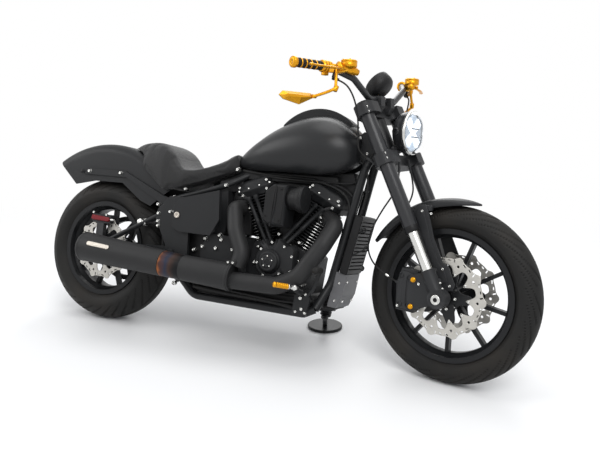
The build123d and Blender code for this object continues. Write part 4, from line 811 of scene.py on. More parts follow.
def roundedLoop(halfX, halfY, radius, perCorner=7):
    # closed loop of a rectangle with round corners
    angle = np.linspace(0, np.pi / 2, perCorner)
    x = np.concatenate([sx * (halfX - radius) + radius * np.cos(angle + a) for sx, a in
                        ((1, 0), (-1, np.pi / 2), (-1, np.pi), (1, 1.5 * np.pi))])
    y = np.concatenate([sy * (halfY - radius) + radius * np.sin(angle + a) for sy, a in
                        ((1, 0), (1, np.pi / 2), (-1, np.pi), (-1, 1.5 * np.pi))])
    return np.column_stack((x, y))


def stacked(lean, levels):
    # closed shape: rounded rectangles (height, half depth, half width, corner) one above another
    rings = []
    for height, halfDepth, halfWidth, corner in levels:
        loop = roundedLoop(halfDepth, halfWidth, corner)
        rings.append(onCylinder(lean, height, loop[:, 0], loop[:, 1]))
    points = np.concatenate(rings)
    count = len(loop)
    faces = [tuple(f) for f in gridFaces(len(levels), count, False, True)[:, ::-1]]
    faces += [tuple(range(count))[::-1], tuple(range(len(points) - count, len(points)))]
    return points, faces


def makeCylinders():
    cores, blades, bright = [], [], []
    pitch = engine["barrel"] / engine["fins"]
    for lean in (engine["leanFront"], -engine["leanRear"]):
        core, foot = engine["core"], engine["deck"]
        cores.append(stacked(lean, ((foot, core, core, 20), (foot + engine["barrel"], core, core, 20))))
        for index in range(engine["fins"]):
            low = foot + index * pitch + pitch * 0.32
            headFin = index > engine["fins"] * 0.66
            depth = engine["finHalfDepth"] * (1.0 if headFin else 0.93)
            width = engine["finHalfWidth"] * (1.0 if headFin else 0.95)
            corner = engine["finRound"]
            high = low + 3.6
            blades.append(stacked(lean, ((low, depth - 1, width - 1, corner), (low + 0.5, depth, width, corner),
                                         (high - 0.5, depth, width, corner), (high, depth - 1, width - 1, corner))))
            # machined edge: a thin strip proud of the fin's rim round its outer corner
            loop = roundedLoop(depth + 0.5, width + 0.5, corner)
            ahead = 1 if lean > 0 else -1
            for side in (-1, 1):
                keep = (loop[:, 1] * side > width * 0.42) & (loop[:, 0] * ahead > -depth * 0.35)
                strip = loop[keep]
                strip = strip[np.argsort(np.arctan2(strip[:, 1] * side, strip[:, 0] * ahead))]
                if len(strip) > 2:
                    lower = onCylinder(lean, low + 0.3, strip[:, 0], strip[:, 1])
                    upper = onCylinder(lean, high - 0.3, strip[:, 0], strip[:, 1])
                    inside = strip * ((np.array((depth, width)) - 3) / np.array((depth, width)))
                    innerLow = onCylinder(lean, low + 0.3, inside[:, 0], inside[:, 1])
                    innerHigh = onCylinder(lean, high - 0.3, inside[:, 0], inside[:, 1])
                    ring = np.stack((lower, upper, innerHigh, innerLow))
                    faces = gridFaces(4, len(strip), True, False)
                    if side * ahead > 0:
                        faces = faces[:, ::-1]
                    bright.append((ring.reshape(-1, 3), [tuple(f) for f in faces]))
    frameParts("barrels", cores + blades, wrinkleBlack, "cylinders")
    frameParts("finEdges", bright, machinedEdge)


def makeRockerBoxes():
    boxes, seams, heads = [], [], []
    foot = engine["deck"] + engine["barrel"]
    tall = engine["rockerHeight"]
    for lean in (engine["leanFront"], -engine["leanRear"]):
        depth, width = engine["rockerHalfDepth"], engine["rockerHalfWidth"]
        # each level: height above the barrel, how far it stands in from the depth and the width, corner
        levels = ((0, 12, 10, 22), (4, 6, 5, 26), (24, 5, 4, 26), (26, 0, 0, 28), (34, 0, 0, 28), (37, 4, 4, 26),
                  (tall - 16, 9, 8, 26), (tall - 6, 16, 14, 26), (tall, 30, 28, 24))
        for parts, rows in ((boxes, levels), (seams, ((28.6, -0.7, -0.7, 28), (31.2, -0.7, -0.7, 28)))):
            parts.append(stacked(lean, [(foot + up, depth - a, width - b, corner) for up, a, b, corner in rows]))
        for along in (-0.8, -0.28, 0.28, 0.8):
            for side in (-1, 1):
                place = onCylinder(lean, foot + 36, along * depth, side * (width - 9))
                heads.append(bolt(place, onCylinder(lean, 1, 0, 0) - onCylinder(lean, 0, 0, 0), 6.5, 7, 20))
        for along, height in ((-0.62, 16), (0.62, 16), (-0.7, 52), (0.7, 52)):
            for side in (-1, 1):
                place = onCylinder(lean, foot + height, along * depth, side * (width - 8))
                heads.append(bolt(place, (0, side, 0), 7.0, 9, 20))
    frameParts("rockerBoxes", boxes, wrinkleBlack, "rocker_covers")
    frameParts("rockerGaskets", seams, blackPlastic)
    frameParts("rockerBolts", heads, brightSteel)


timing = {"x": 903.0, "z": 379.0, "face": -105.0}


def makeTimingCover():
    foot = np.array((timing["x"], timing["face"], timing["z"]))
    heads = []
    outline = np.concatenate((
        ringLoop(66.0, (0, 0), 40)[8:34], ringLoop(26.0, (84, -26), 16)[9:16], ringLoop(26.0, (80, 46), 16)[0:6],
        ringLoop(22.0, (30, 74), 12)[1:5], ringLoop(22.0, (-34, 64), 12)[2:6]))
    order = np.argsort(np.arctan2(outline[:, 1] - 14, outline[:, 0] - 16))
    body = [sidePlate([outline[order]], foot + (0, -26, 0), 52, 5.0)]
    dome = ((0, 52), (52, 51), (56, 49), (60, 47), (61, 44), (63, 43), (66, 43), (69, 41), (71, 36), (71.5, 30),
            (70.4, 28), (70.2, 0))
    body.append(turned(dome, foot, rightWay, 72))
    body.append(turned(((69.8, 28.5), (71.0, 28), (71.0, 20), (70.4, 17), (70.4, 0)), foot, rightWay, 60))
    cap = ((70.2, 13.5), (71.2, 13), (71.2, 9), (70.9, 8), (70.9, 3), (71.4, 2), (71.4, 0))
    for index in range(5):
        a = 2 * math.pi * index / 5 + 0.3
        heads.append(bolt(foot + (22 * math.cos(a), -70.4, 22 * math.sin(a)), rightWay, 3.6, 4, 16))
    rim = ((-52, -10), (-40, 46), (6, 78), (62, 66), (98, 30), (98, -30), (50, -44), (-20, -58))
    heads += [bolt(foot + (x, -50, z), rightWay, 6.2, 8, 20) for x, z in rim]
    # pushrod tubes: sleeves with two collars, from the lifter blocks up to the rocker boxes
    tubes = []
    for footX, lean, spread in ((-26, -engine["leanRear"], 6), (30, engine["leanFront"], -6)):
        block = foot + (footX, -6, 62)
        tubes.append(sidePlate([roundedLoop(26, 20, 8)], block, 30, 2.0))
        for step in (-1, 1):
            low = foot + (footX + step * 13, -12, 70)
            top = onCylinder(lean, engine["deck"] + engine["barrel"] - 2, step * 17 - spread * 2, 0)
            top[1] = -94
            run = np.linalg.norm(top - low)
            sleeve = ((0, 12.5), (14, 12.5), (16, 8.2), (run * 0.42, 8.2), (run * 0.43, 10.4), (run * 0.5, 10.4),
                      (run * 0.51, 8.8), (run - 16, 8.8), (run - 14, 12), (run, 12))
            tubes.append(turned(sleeve, low, top - low, 24))
    frameParts("timingCover", body + tubes, wrinkleBlack, "timing_cover")
    frameParts("timingCap", [turned(cap, foot, rightWay, 40)], castBlack)
    frameParts("timingBolts", heads, brightSteel)


# chrome bolts on the machine's right side: x, z at a depth to the right
rightBolts = (
    # depth, radius, (x, z) of each
    (108, 7.0, ((819, 466), (825, 431), (872, 474), (877, 450), (913, 492), (961, 451), (932, 428), (1007, 467))),
    (110, 7.0, ((815, 365), (972, 354), (1010, 392), (790, 300), (1040, 300))),
    (130, 8.5, ((581, 436), (659, 439), (571, 401), (636, 401), (530, 383), (648, 457), (700, 303))),
    (130, 7.0, ((716, 309), (689, 330), (716, 404), (600, 300), (640, 280))),
    (160, 7.0, ((352, 486), (354, 467), (410, 532), (436, 491), (465, 231), (350, 520), (470, 560))),
    (116, 7.5, ((394, 599), (446, 638), (312, 559), (644, 669), (692, 740), (-90, 678), (88, 681))),
)


def makeRightBolts():
    heads = []
    for depth, radius, places in rightBolts:
        washer = ((-14, radius + 2.2), (0, radius + 2.2), (1.2, radius + 1.2))
        heads += [turned(washer, (x, -depth, z), rightWay, 20) for x, z in places]
        heads += sideBolts(places, -depth - 1, radius, 7.0)
    frameParts("rightBolts", heads, brightSteel)


makeCylinders()
makeRockerBoxes()
makeTimingCover()
makeRightBolts()
print("engine made")

# Headlight, gauge, bars and controls
lamp = {"z": 946.0, "back": 1334.0, "front": 1395.0, "radius": 86.0, "dome": 44.0}


def makeHeadlight():
    foot = (lamp["back"], 0, lamp["z"])
    grown = (1.0, lamp["radius"] / 83.0)
    deep = lamp["front"] - lamp["back"]
    shell = ((0, 0), (0, 30), (1.5, 40), (6, 54), (14, 66), (26, 75), (40, 79.5), (deep - 4, 80.5),
             (deep - 3, 82), (deep, 82), (deep + 0.5, 79), (deep + 0.5, 72))
    bucket = [turned(np.array(shell) * grown, foot, aheadWay, 96)]
    bucket.append(cutPlate([roundedLoop(14, 27, 6)], onFork(584 + 22, 0, 8), steerUp, leftWay, 22, 2.0))
    for side in (-1, 1):
        pivot = (lamp["back"] + 34, side * 76, lamp["z"])
        bucket.append(turned(((0, 13), (6, 14), (9, 14), (10, 11)), pivot, (0, side, 0), 24))
    forkParts("headlightBucket", bucket, forkBlack, stands="headlight")
    bezel = ((0.4, 78), (1.5, 82.5), (5, 83.6), (9, 83.2), (12, 81), (13, 78.6), (10, 77.8))
    bezel = (np.array(bezel) + (deep, 0)) * grown
    forkParts("headlightBezel", [turned(bezel, foot, aheadWay, 96)], brightSteel)
    t = np.linspace(0, math.pi / 2, 14)
    outside = np.column_stack((deep + 10 + lamp["dome"] * np.sin(t), 79 * np.cos(t) ** 0.8))
    outside[-1, 1] = 0.0
    inside = outside[::-1] * (1, 0.965) - (2.2, 0)
    lens = np.concatenate((outside, inside))
    forkParts("headlightLens", [turned(lens * grown, foot, aheadWay, 96)], lampGlass, "headlight_lens")
    bowl = ((-26, 0), (-26, 22), (-18, 44), (-4, 66), (9, 77), (8, 77.5), (-8, 68), (-28, 40), (-30, 0))
    forkParts("lampBowl", [turned((np.array(bowl) + (deep, 0)) * grown, foot, aheadWay, 72)], reflector)
    # four light blocks set as a cross on its corners, with two thin blades between them
    blocks, blades = [], []
    face = lamp["back"] + deep + 16
    for quarter in range(4):
        a = math.pi / 4 + quarter * math.pi / 2
        corners = ((12, -0.8), (34, -0.42), (66, -0.26), (66, 0.26), (34, 0.42), (12, 0.8))
        loop = [(far * math.cos(a + turn), far * math.sin(a + turn)) for far, turn in corners]
        blocks.append(cutPlate([loop], (face - 10, 0, lamp["z"]), leftWay, skyWay, 12, 1.5))
    for up in (-16, 16):
        middle = (face - 1, 0, lamp["z"] + up)
        blades.append(cutPlate([roundedLoop(26, 1.6, 1.2)], middle, leftWay, skyWay, 8, 0.3))
    forkParts("lampBlocks", blocks, ledWhite)
    forkParts("lampBlades", blades, blackPlastic)


gaugePod = {"centre": (1240.0, 0.0, 1128.0), "facing": (-0.76, 0.0, 0.65), "grown": (1.0, 1.12)}


def makeGauge():
    foot, facing = np.array(gaugePod["centre"]), unit(gaugePod["facing"])
    up = np.cross(leftWay, facing)

    def pod(profile, segments):
        return turned(np.array(profile) * gaugePod["grown"], foot, facing, segments)

    def dialWay(angle):  # from the middle of the dial, clockwise from its top
        return rightWay * math.sin(angle) + up * math.cos(angle)

    parts = [pod(((-34, 0), (-33.5, 16), (-31, 30), (-26, 40), (-18, 46.5), (-8, 49.5), (4, 50), (18, 50), (24, 49),
                  (26, 47), (25, 44.5), (20, 43.5), (17, 43)), 72)]
    for side in (-1, 1):
        high, low = foot - facing * 20 + (0, side * 22, -30), foot - facing * 6 + (0, side * 22, -52)
        parts.append(tube(smoothLine((high, low, (1258, side * 24, 1076)), 12), 7.5))
    forkParts("gaugePod", parts, blackPlastic, stands="gauge")
    forkParts("gaugeDial", [pod(((17, 43), (17.4, 0)), 60)], wrinkleBlack)
    marks = []
    for index in range(31):
        along = dialWay(math.radians(-120 + index * 8))
        out, halfLong, halfWide = (36, 3.6, 0.9) if index % 5 == 0 else (38, 1.8, 0.5)
        marks.append(cutPlate([roundedLoop(halfLong, halfWide, 0.3, 2)], foot + facing * 17.8 + along * out, along,
                              np.cross(facing, along), 0.8, 0.1))
    needle = [(-6, -1.2), (32, -0.4), (32, 0.4), (-6, 1.2)]
    along = dialWay(-2.0)
    marks.append(cutPlate([needle], foot + facing * 19.4, along, np.cross(facing, along), 0.8, 0.1))
    marks.append(turned(((17.4, 5), (20.5, 4), (20.5, 0)), foot, facing, 20))
    forkParts("gaugeMarks", marks, greyPlastic)
    forkParts("gaugeGlass", [pod(((22, 43.6), (23, 43.6), (24.5, 0), (23.5, 0)), 60)], lampGlass)


bars = {
    "inner": (1186.0, -292.0, 1164.0),
    "outer": (1140.0, -452.0, 1160.0),
    "grip": (44.0, 162.0),
    "gripRadius": 17.0,
}


def mirrored(parts):  # the same pieces on the left, with their faces turned back outwards
    return parts + [(np.asarray(p) * (1, -1, 1), [tuple(f)[::-1] for f in faces]) for p, faces in parts]


def onBar(distance):
    inner, outer = np.array(bars["inner"]), np.array(bars["outer"])
    return inner + unit(outer - inner) * distance


def makeGripsAndControls():
    inner, way = np.array(bars["inner"]), unit(np.array(bars["outer"]) - np.array(bars["inner"]))
    start, end = bars["grip"]
    r = bars["gripRadius"]
    ribs, bands = [(start, 12.8), (start, r - 1)], []
    rib = 6.2
    count = int((end - start) / rib)
    for index in range(count):
        low = start + index * rib
        ribs += [(low + 0.4, r), (low + rib - 1.8, r), (low + rib - 1.2, r - 1.7), (low + rib - 0.3, r - 1.7)]
    ribs += [(end, r - 1), (end, 12.8)]
    forkParts("gripRubber", mirrored([turned(ribs, inner, way, 40)]), hoseRubber, "grips")
    for at in (0.22, 0.42, 0.62, 0.80):
        band = np.array(((0, -1), (0.8, 1), (5, 1), (5.8, -1))) + (start + (end - start) * at, r)
        bands.append(turned(band, inner, way, 40))
    cap = ((end + 0.4, 12), (end + 0.4, r + 2.6), (end + 2, r + 3.6), (end + 13, r + 3.6), (end + 15, r + 2),
           (end + 18, r - 3), (end + 18, 6), (end + 15, 5), (end + 15, 0))
    collar = ((start - 14, 12.9), (start - 14, r + 4), (start - 12, r + 5.5), (start - 4, r + 5.5),
              (start - 2, r + 3), (start - 0.4, r + 2), (start - 0.4, 12.9))
    clamp = ((0, 12.9), (0, 20), (1.5, 21.5), (13, 21.5), (14.5, 20), (14.5, 12.9))
    gold = bands + [turned(profile, inner, way, 48) for profile in (cap, collar, clamp)]
    # throttle housing: two halves round the bar with a belly below
    gold.append(turned(((16, 12.9), (16, 21), (18, 24), (27, 24), (29, 21), (29, 12.9)), inner, way, 8))
    gold.append(cutPlate([roundedLoop(12, 9, 3)], onBar(22) + (0, 0, -24), way, skyWay, 18, 2.0))
    # master cylinder: body across the bar with a round reservoir on top
    head = np.array((1268.0, -222.0, 1150.0))
    tail = np.array((1226.0, -304.0, 1168.0))
    axis = unit(tail - head)
    run = np.linalg.norm(tail - head)
    gold.append(turned(((0, 0), (0, 9), (2, 12), (10, 12.5), (12, 15), (run * 0.45, 15), (run * 0.5, 13),
                        (run - 14, 13), (run - 12, 15.5), (run - 2, 15.5), (run, 13), (run, 0)), head, axis, 32))
    cup = np.array((1250.0, -262.0, 1158.0))
    gold.append(turned(((0, 14), (4, 20), (8, 29), (10, 30.5), (24, 30.5), (24.6, 29), (25.4, 29), (26, 30.5),
                        (30, 30.5), (33, 28.5), (34, 25), (34, 0)), cup, skyWay, 48))
    for index in range(4):
        a = index * math.pi / 2 + 0.7
        gold.append(bolt(cup + (22 * math.cos(a), 22 * math.sin(a), 33.5), skyWay, 3.4, 3.0, 16))
    perch = [(-14, -16), (26, -18), (58, -10), (62, 4), (40, 16), (-14, 16)]
    gold.append(cutPlate([perch], onBar(6) + (16, 0, -6), (0.8, 0.5, 0), skyWay, 20, 3.0))
    # lever: a flat blade that widens and hooks at its end
    pivot = np.array((1240.0, -296.0, 1160.0))
    line = smoothLine((pivot, (1249, -322, 1155), (1246, -352, 1150), (1228, -402, 1150), (1212, -438, 1150),
                       (1206, -452, 1152)), 40)
    width = 5.4 + 2.4 * np.sin(np.linspace(0, np.pi, 40)) ** 2
    width[-5:] = (7.4, 8.4, 8.6, 7.6, 4.0)
    blade, bladeFaces = tube(line, width, 20)
    blade[:, 2] = (blade[:, 2] - 1153) * 0.62 + 1153
    gold.append((blade, bladeFaces))
    gold.append(turned(((-9, 0), (-9, 7), (-8, 8.4), (8, 8.4), (9, 7), (9, 0)), pivot, skyWay, 24))
    # adjuster wheel of the lever
    gold.append(turned(((-5, 0), (-5, 8), (5, 8), (5, 0)), pivot + (8, -16, 0), (0.5, -0.8, 0), 12))
    forkParts("handControls", mirrored(gold), goldAnodised, "hand_controls")
    union = ((-3, 0), (-3, 7), (-1, 8.5), (7, 8.5), (9, 6), (14, 5.2), (24, 5.2), (24, 0))
    banjo = [turned(union, (1206, -297, 1124), (21, 18, -8), 24),
             tube(((1226, -300, 1164), (1212, -297, 1142), (1206, -296, 1124)), 6.0)]
    forkParts("hoseUnions", mirrored(banjo), blackPlastic)


mirrorShape = {"middle": (1140.0, -420.0, 1042.0), "along": (0.37, 0.93, 0.0)}


def makeMirrors():
    # faceted back: the outline's rim, then a smaller ridge loop set back, so that each side is one flat facet
    middle, along = np.array(mirrorShape["middle"]), unit(mirrorShape["along"])
    up = np.array((0.0, 0.0, 1.0))
    ahead = np.cross(along, up)  # towards the front of the machine
    outline = np.array(((-82, 0), (-66, 17), (62, 19), (80, 4), (12, -29), (-62, -15)))
    ridge = np.array(((-60, 2), (-52, 6), (46, 7), (56, 3), (8, -3), (-50, -3))) * 0.92
    outline = outline * 0.92
    rings = [(outline * 0.95, -11), (outline, -9), (outline, -3), (ridge, 11)]
    points = np.concatenate([middle + flat[:, :1] * along + flat[:, 1:] * up + out * ahead for flat, out in rings])
    faces = [tuple(f) for f in gridFaces(4, 6, False, True)] + [tuple(range(6))[::-1], tuple(range(18, 24))]
    stem = smoothLine(((1222, -302, 1166), (1226, -306, 1136), (1230, -312, 1096), (1234, -318, 1082),
                       (1226, -326, 1076), (1200, -340, 1062), (1166, -362, 1048)), 48)
    ball = ((-11, 0), (-11, 8), (-9, 9.5), (9, 9.5), (11, 8), (11, 0))
    parts = [(points, faces), tube(stem, 5.6, 20), turned(ball, (1232, -314, 1082), (0.2, 0.4, 1), 24)]
    parts.append(turned(((-8, 0), (-8, 7), (8, 7), (8, 0)), (1170, -360, 1049), (0.37, 0.93, 0), 20))
    heads = forkParts("mirrors", mirrored(parts), goldAnodised)
    for polygon in heads.data.polygons:
        if polygon.area > 1e-4:
            polygon.use_smooth = False
    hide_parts("mirrors")
    glass = [cutPlate([outline * 0.9], middle - ahead * 11.5, along, up, 1.2, 0.2)]
    forkParts("mirrorGlass", mirrored(glass), reflector)


makeHeadlight()
makeGauge()
makeGripsAndControls()
makeMirrors()
print("lamp, gauge and controls made")

# Seat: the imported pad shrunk, rounded at its shoulders, then swollen by cloth pressure
seatPad = {
    "voxel": 0.005,  # metres
    "shrink": 0.005,
    "pressure": 4.0,
    "cap": 0.006,  # how far a point may move
    # x with the crest's height, the half width, the rounding of the top corners and how far the top draws in
    "top": ((106, 806), (170, 826), (230, 836), (290, 830), (330, 814), (370, 770), (424, 726), (530, 744),
            (600, 778), (650, 820)),
    "half": ((70, 70), (180, 120), (330, 150), (440, 150), (640, 84), (680, 70)),
    "shoulder": ((106, 26), (200, 62), (320, 66), (430, 34), (560, 40), (660, 30)),
    "narrowing": ((106, 0.2), (250, 0.2), (360, 0.08), (640, 0.02)),
    "fender": 489.0,  # nothing nearer to the rear axle
    "skirt": 113.0,
}


def meshPoints(mesh, what="co"):  # the points of a mesh, or their normals
    flat = np.empty(len(mesh.vertices) * 3)
    mesh.vertices.foreach_get(what, flat)
    return flat.reshape(-1, 3)


def seatAt(x, key):  # a value of the seat along its length
    return np.interp(x, *np.array(seatPad[key]).T)


def bake(piece):  # the piece keeps what its modifiers made
    mesh = bpy.data.meshes.new_from_object(piece.evaluated_get(bpy.context.evaluated_depsgraph_get()))
    piece.modifiers.clear()
    piece.data = mesh
    return meshPoints(mesh)


def upright(points):  # the scene's metres back to the upright machine's millimetres
    return (np.asarray(points, float) - rearPlace) @ leanMatrix * 1000 + rearHub


def fenderClear(points):
    # points over the fender stand off its crown, and those beside it stand off its sides
    reach = np.hypot(points[:, 0], points[:, 2] - rearHub[2])
    low = reach < seatPad["fender"]
    over = low & (np.abs(points[:, 1]) < 108)
    beside = low & ~over
    points[over, 0] *= (seatPad["fender"] / reach)[over]
    points[over, 2] = rearHub[2] + (points[over, 2] - rearHub[2]) * (seatPad["fender"] / reach)[over]
    points[beside, 1] = np.sign(points[beside, 1]) * np.maximum(np.abs(points[beside, 1]), seatPad["skirt"])
    return points


def makeSeat():
    made = bmesh.new()
    made.from_mesh(nodes["seat"].data)
    bmesh.ops.remove_doubles(made, verts=made.verts, dist=2e-6)
    mesh = bpy.data.meshes.new("seatPad")
    made.to_mesh(mesh)
    made.free()
    pad = bpy.data.objects.new("seatPad", mesh)
    bpy.context.scene.collection.objects.link(pad)
    remesh = pad.modifiers.new("voxels", "REMESH")
    remesh.mode = "VOXEL"
    remesh.voxel_size = seatPad["voxel"]
    bake(pad)
    # corners: the square corner of each cross-section is mapped on to a quarter circle
    points = upright(meshPoints(pad.data) - meshPoints(pad.data, "normal") * seatPad["shrink"])
    x, y, z = points.T
    crest = seatAt(x, "top")
    half = seatAt(x, "half")
    corner = seatAt(x, "shoulder")
    out = np.clip((np.abs(y) - (half - corner)) / corner, 0, 1)
    high = np.clip((z - (crest - corner)) / corner, 0, 1)
    y = np.sign(y) * (np.abs(y) - corner * out * (1 - np.sqrt(1 - high**2 / 2)))
    z = z - corner * high * (1 - np.sqrt(1 - out**2 / 2))
    t = np.clip((z - (crest - 120)) / 120, 0, 1)
    y = y * (1 - seatAt(x, "narrowing") * t**1.5)
    pad.data.vertices.foreach_set("co", placed(np.column_stack((x, y, z))).ravel())
    rounding = pad.modifiers.new("rounding", "SMOOTH")
    rounding.factor = 0.5
    rounding.iterations = 16
    before = bake(pad)
    cloth = pad.modifiers.new("pressure", "CLOTH")
    cloth.settings.use_pressure = True
    cloth.settings.uniform_pressure_force = seatPad["pressure"]
    cloth.settings.effector_weights.gravity = 0.0
    cloth.point_cache.frame_start = 1
    cloth.point_cache.frame_end = 20
    for frameNumber in range(1, 21):
        bpy.context.scene.frame_set(frameNumber)
    shift = bake(pad) - before
    far = np.linalg.norm(shift, axis=1, keepdims=True)
    before = before + shift * np.minimum(1, seatPad["cap"] / np.maximum(far, 1e-9))
    bpy.context.scene.frame_set(1)
    pad.data.vertices.foreach_set("co", placed(fenderClear(upright(before))).ravel())
    finer = pad.modifiers.new("finer", "SUBSURF")
    finer.levels = finer.render_levels = 1
    points = bake(pad)
    # faint creases: one across between back rest and saddle, one along each shoulder
    x, y, z = upright(points).T
    crest = seatAt(x, "top")
    half = seatAt(x, "half")
    upper = z > crest - 80
    crosswise = np.exp(-(((x - 372 + 0.0006 * y**2) / 3.0) ** 2)) * upper
    shoulder = 0.62 * half + 0.25 * (crest - z)
    lengthwise = np.exp(-(((np.abs(y) - shoulder) / 2.6) ** 2)) * upper * (x > 372) * (x < 640)
    dent = 0.0007 * np.clip(crosswise + lengthwise, 0, 1)
    pad.data.vertices.foreach_set("co", (points - meshPoints(pad.data, "normal") * dent[:, None]).ravel())
    pad.data.polygons.foreach_set("use_smooth", np.ones(len(pad.data.polygons), bool))
    pad.data.materials.clear()
    pad.data.materials.append(seatVinyl)
    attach(pad, "frame")
    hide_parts("seat")


makeSeat()
print("seat padded")

# Front fender, its stays, the calipers and what sits on the fork's feet
frontFender = {"radius": 366.0, "half": 65.0, "skirt": 33.0, "from": 151.0, "to": 76.5, "wall": 3.4}


def makeFrontFender():
    # shell: t runs from the rear edge to the beak and v across; left = half * sin(v)^p and
    # radius = R - skirt * (1 - cos(v)^p), and both the half width and the skirt shrink towards the beak
    t = np.linspace(0, 1, 90)[:, None]
    v = np.linspace(-1, 1, 61)[None, :] * math.pi / 2
    angle = np.radians(frontFender["from"] + (frontFender["to"] - frontFender["from"]) * t)
    beak = np.clip((t - 0.4) / 0.6, 0, 1)
    half = frontFender["half"] * (1 - 0.92 * beak**4) * (1 - 0.12 * np.clip(1 - t / 0.12, 0, 1) ** 2)
    skirt = frontFender["skirt"] * (1 - 0.88 * beak**3) * (1 - 0.45 * np.clip(1 - t / 0.14, 0, 1) ** 2)
    power = 0.62
    left = half * np.sign(np.sin(v)) * np.abs(np.sin(v)) ** power
    radius = frontFender["radius"] - 6 * beak**2 - skirt * (1 - np.abs(np.cos(v)) ** power)
    # a pressed line above each skirt
    radius = radius - 1.6 * np.exp(-(((np.abs(v) - 1.02) / 0.05) ** 2)) * (1 - beak)
    points = frontHub + np.stack((radius * np.cos(angle), left, radius * np.sin(angle)), -1)
    faces = gridFaces(*points.shape[:2])[:, ::-1]
    shell = addPiece("frontFenderShell", placed(points, True), faces, "fork", matteBlack)
    wall = shell.modifiers.new("wall", "SOLIDIFY")
    wall.thickness = frontFender["wall"] * 0.001
    wall.offset = -1
    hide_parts("front_fender")
    outline = ((-30, 36), (-58, 96), (-148, 296), (-134, 334), (-96, 336), (-80, 300), (-52, 210), (-12, 130),
               (14, 114), (42, 54), (36, 30), (10, 26))
    raised = ((-48, 112), (-132, 292), (-124, 318), (-104, 318), (-66, 214), (-28, 128), (-4, 104), (14, 62),
              (-4, 52), (-24, 64))
    plate = sidePlate([outline], frontHub + (0, -84, 0), 6, 1.0)
    rib = sidePlate([raised], frontHub + (0, -88, 0), 4, 1.2)
    tab = sidePlate([roundedLoop(22, 10, 4)], frontHub + (-96, -74, 324), 16, 1.0)
    stays = [plate, rib, tab]
    for x, z in ((-16, 62), (-34, 98)):
        stays.append(turned(((0, 0), (0, 8), (12, 8), (12, 0)), frontHub + (x, -88, z), rightWay, 20))
    bright = sideBolts(((-8, 106), (24, 47), (-108, 312), (-70, 306)), -87, 6.0, 6.0, frontHub)
    forkParts("fenderStays", mirrored(stays), clampBlack)
    forkParts("fenderBolts", mirrored(bright), brightSteel)


def makeForkFeet():
    gold, black = [], []
    end = frontHub + (0, -152, 0)
    rings = [turned(((0, 11), (3.4, 11), (5, 12.5), (5, 16.5), (3.6, 18.4), (0, 18.8)), end, rightWay, 48)]
    # painted shade: black discs stand in for the dark inside of the axle's hollow ends
    hollowShade = [turned(((0.6, 11.2), (0.6, 0)), end, rightWay, 32)]
    cover = ((-174, -60), (-126, -64), (-116, -40), (-108, 34), (-116, 76), (-158, 82), (-174, 26))
    black.append(sidePlate([cover], frontHub + (0, -112, 0), 6, 2.0))
    black.append(sidePlate([roundedLoop(9, 46, 5)], frontHub + (-146, -115.4, 6), 3, 0.8))
    for x, z, r in ((-160, 64, 8), (-160, -46, 8), (-126, 58, 9), (-126, -46, 9)):
        black.append(turned(((0, r + 2), (3, r + 2), (4, r)), frontHub + (x, -114, z), rightWay, 20))
    for x, z in ((-104, 56), (-107, -46)):
        pin = ((-4, 10), (2, 10), (3, 9.4), (3, 8), (8, 8), (9.4, 6.6), (9.4, 0))
        gold.append(turned(pin, frontHub + (x, -130, z), rightWay, 20))
    bright = sideBolts(((-79, 44), (-60, 74)), -130, 6.4, 6.0, frontHub)
    bright += sideBolts(((-168, -54),), -114, 6.4, 6.0, frontHub)
    # pinch bolts of the axle and the clip that holds the hose off the wheel
    for up in (30, 52):
        bright.append(bolt(onFork(up, -124.0, 26.0), forkForward, 5.0, 6.0, 20))
    bright.append(turned(((0, 4.6), (14, 4.6)), (1390, -119, 399), unit((0.84, 0.2, -0.5)), 16))
    forkParts("axleRings", mirrored(rings), brightSteel)
    forkParts("axleHollowShade", mirrored(hollowShade), blackPlastic)
    forkParts("caliperCovers", mirrored(black), clampBlack)
    forkParts("caliperPins", mirrored(gold), goldAnodised)
    forkParts("forkFootBolts", mirrored(bright), brightSteel)
    # dust seals where the bright sliders enter the black legs, and the legs' clamp bolts
    leg = onFork(0.0, -124.0)
    seal = ((262, 22), (262, 25.5), (266, 27), (270, 28.6), (284, 28.6), (287, 28.2))
    cap = ((799.5, 28.2), (803, 27.6), (804, 25), (803, 22), (800.5, 14), (800.5, 0))
    seals = [turned(profile, leg, steerUp, 48) for profile in (seal, cap)]
    clampBolts = []
    for height in (556, 576, 752, 772):
        clampBolts.append(bolt(onFork(float(height), -112.0, -41.0), -forkForward, 5.4, 6.0, 20))
        clampBolts.append(bolt(onFork(float(height), -150.0, 24.0), (0.3, -0.95, 0), 5.4, 6.0, 20))
    forkParts("forkSeals", mirrored(seals), blackPlastic)
    forkParts("clampBolts", mirrored(clampBolts), brightSteel)


makeFrontFender()
makeForkFeet()
print("front fender and fork feet made")

# Exhaust: tinted link, badge plate left bare, seam and clamps
pipes = {
    "linkRear": (452.0, -229.0, 314.0),
    "linkFront": (532.0, -224.0, 309.0),
    "mufflerRear": (34.0, -236.0, 338.0),
    "collectorFront": (772.0, -206.0, 286.0),
    "tint": 96.0,
}


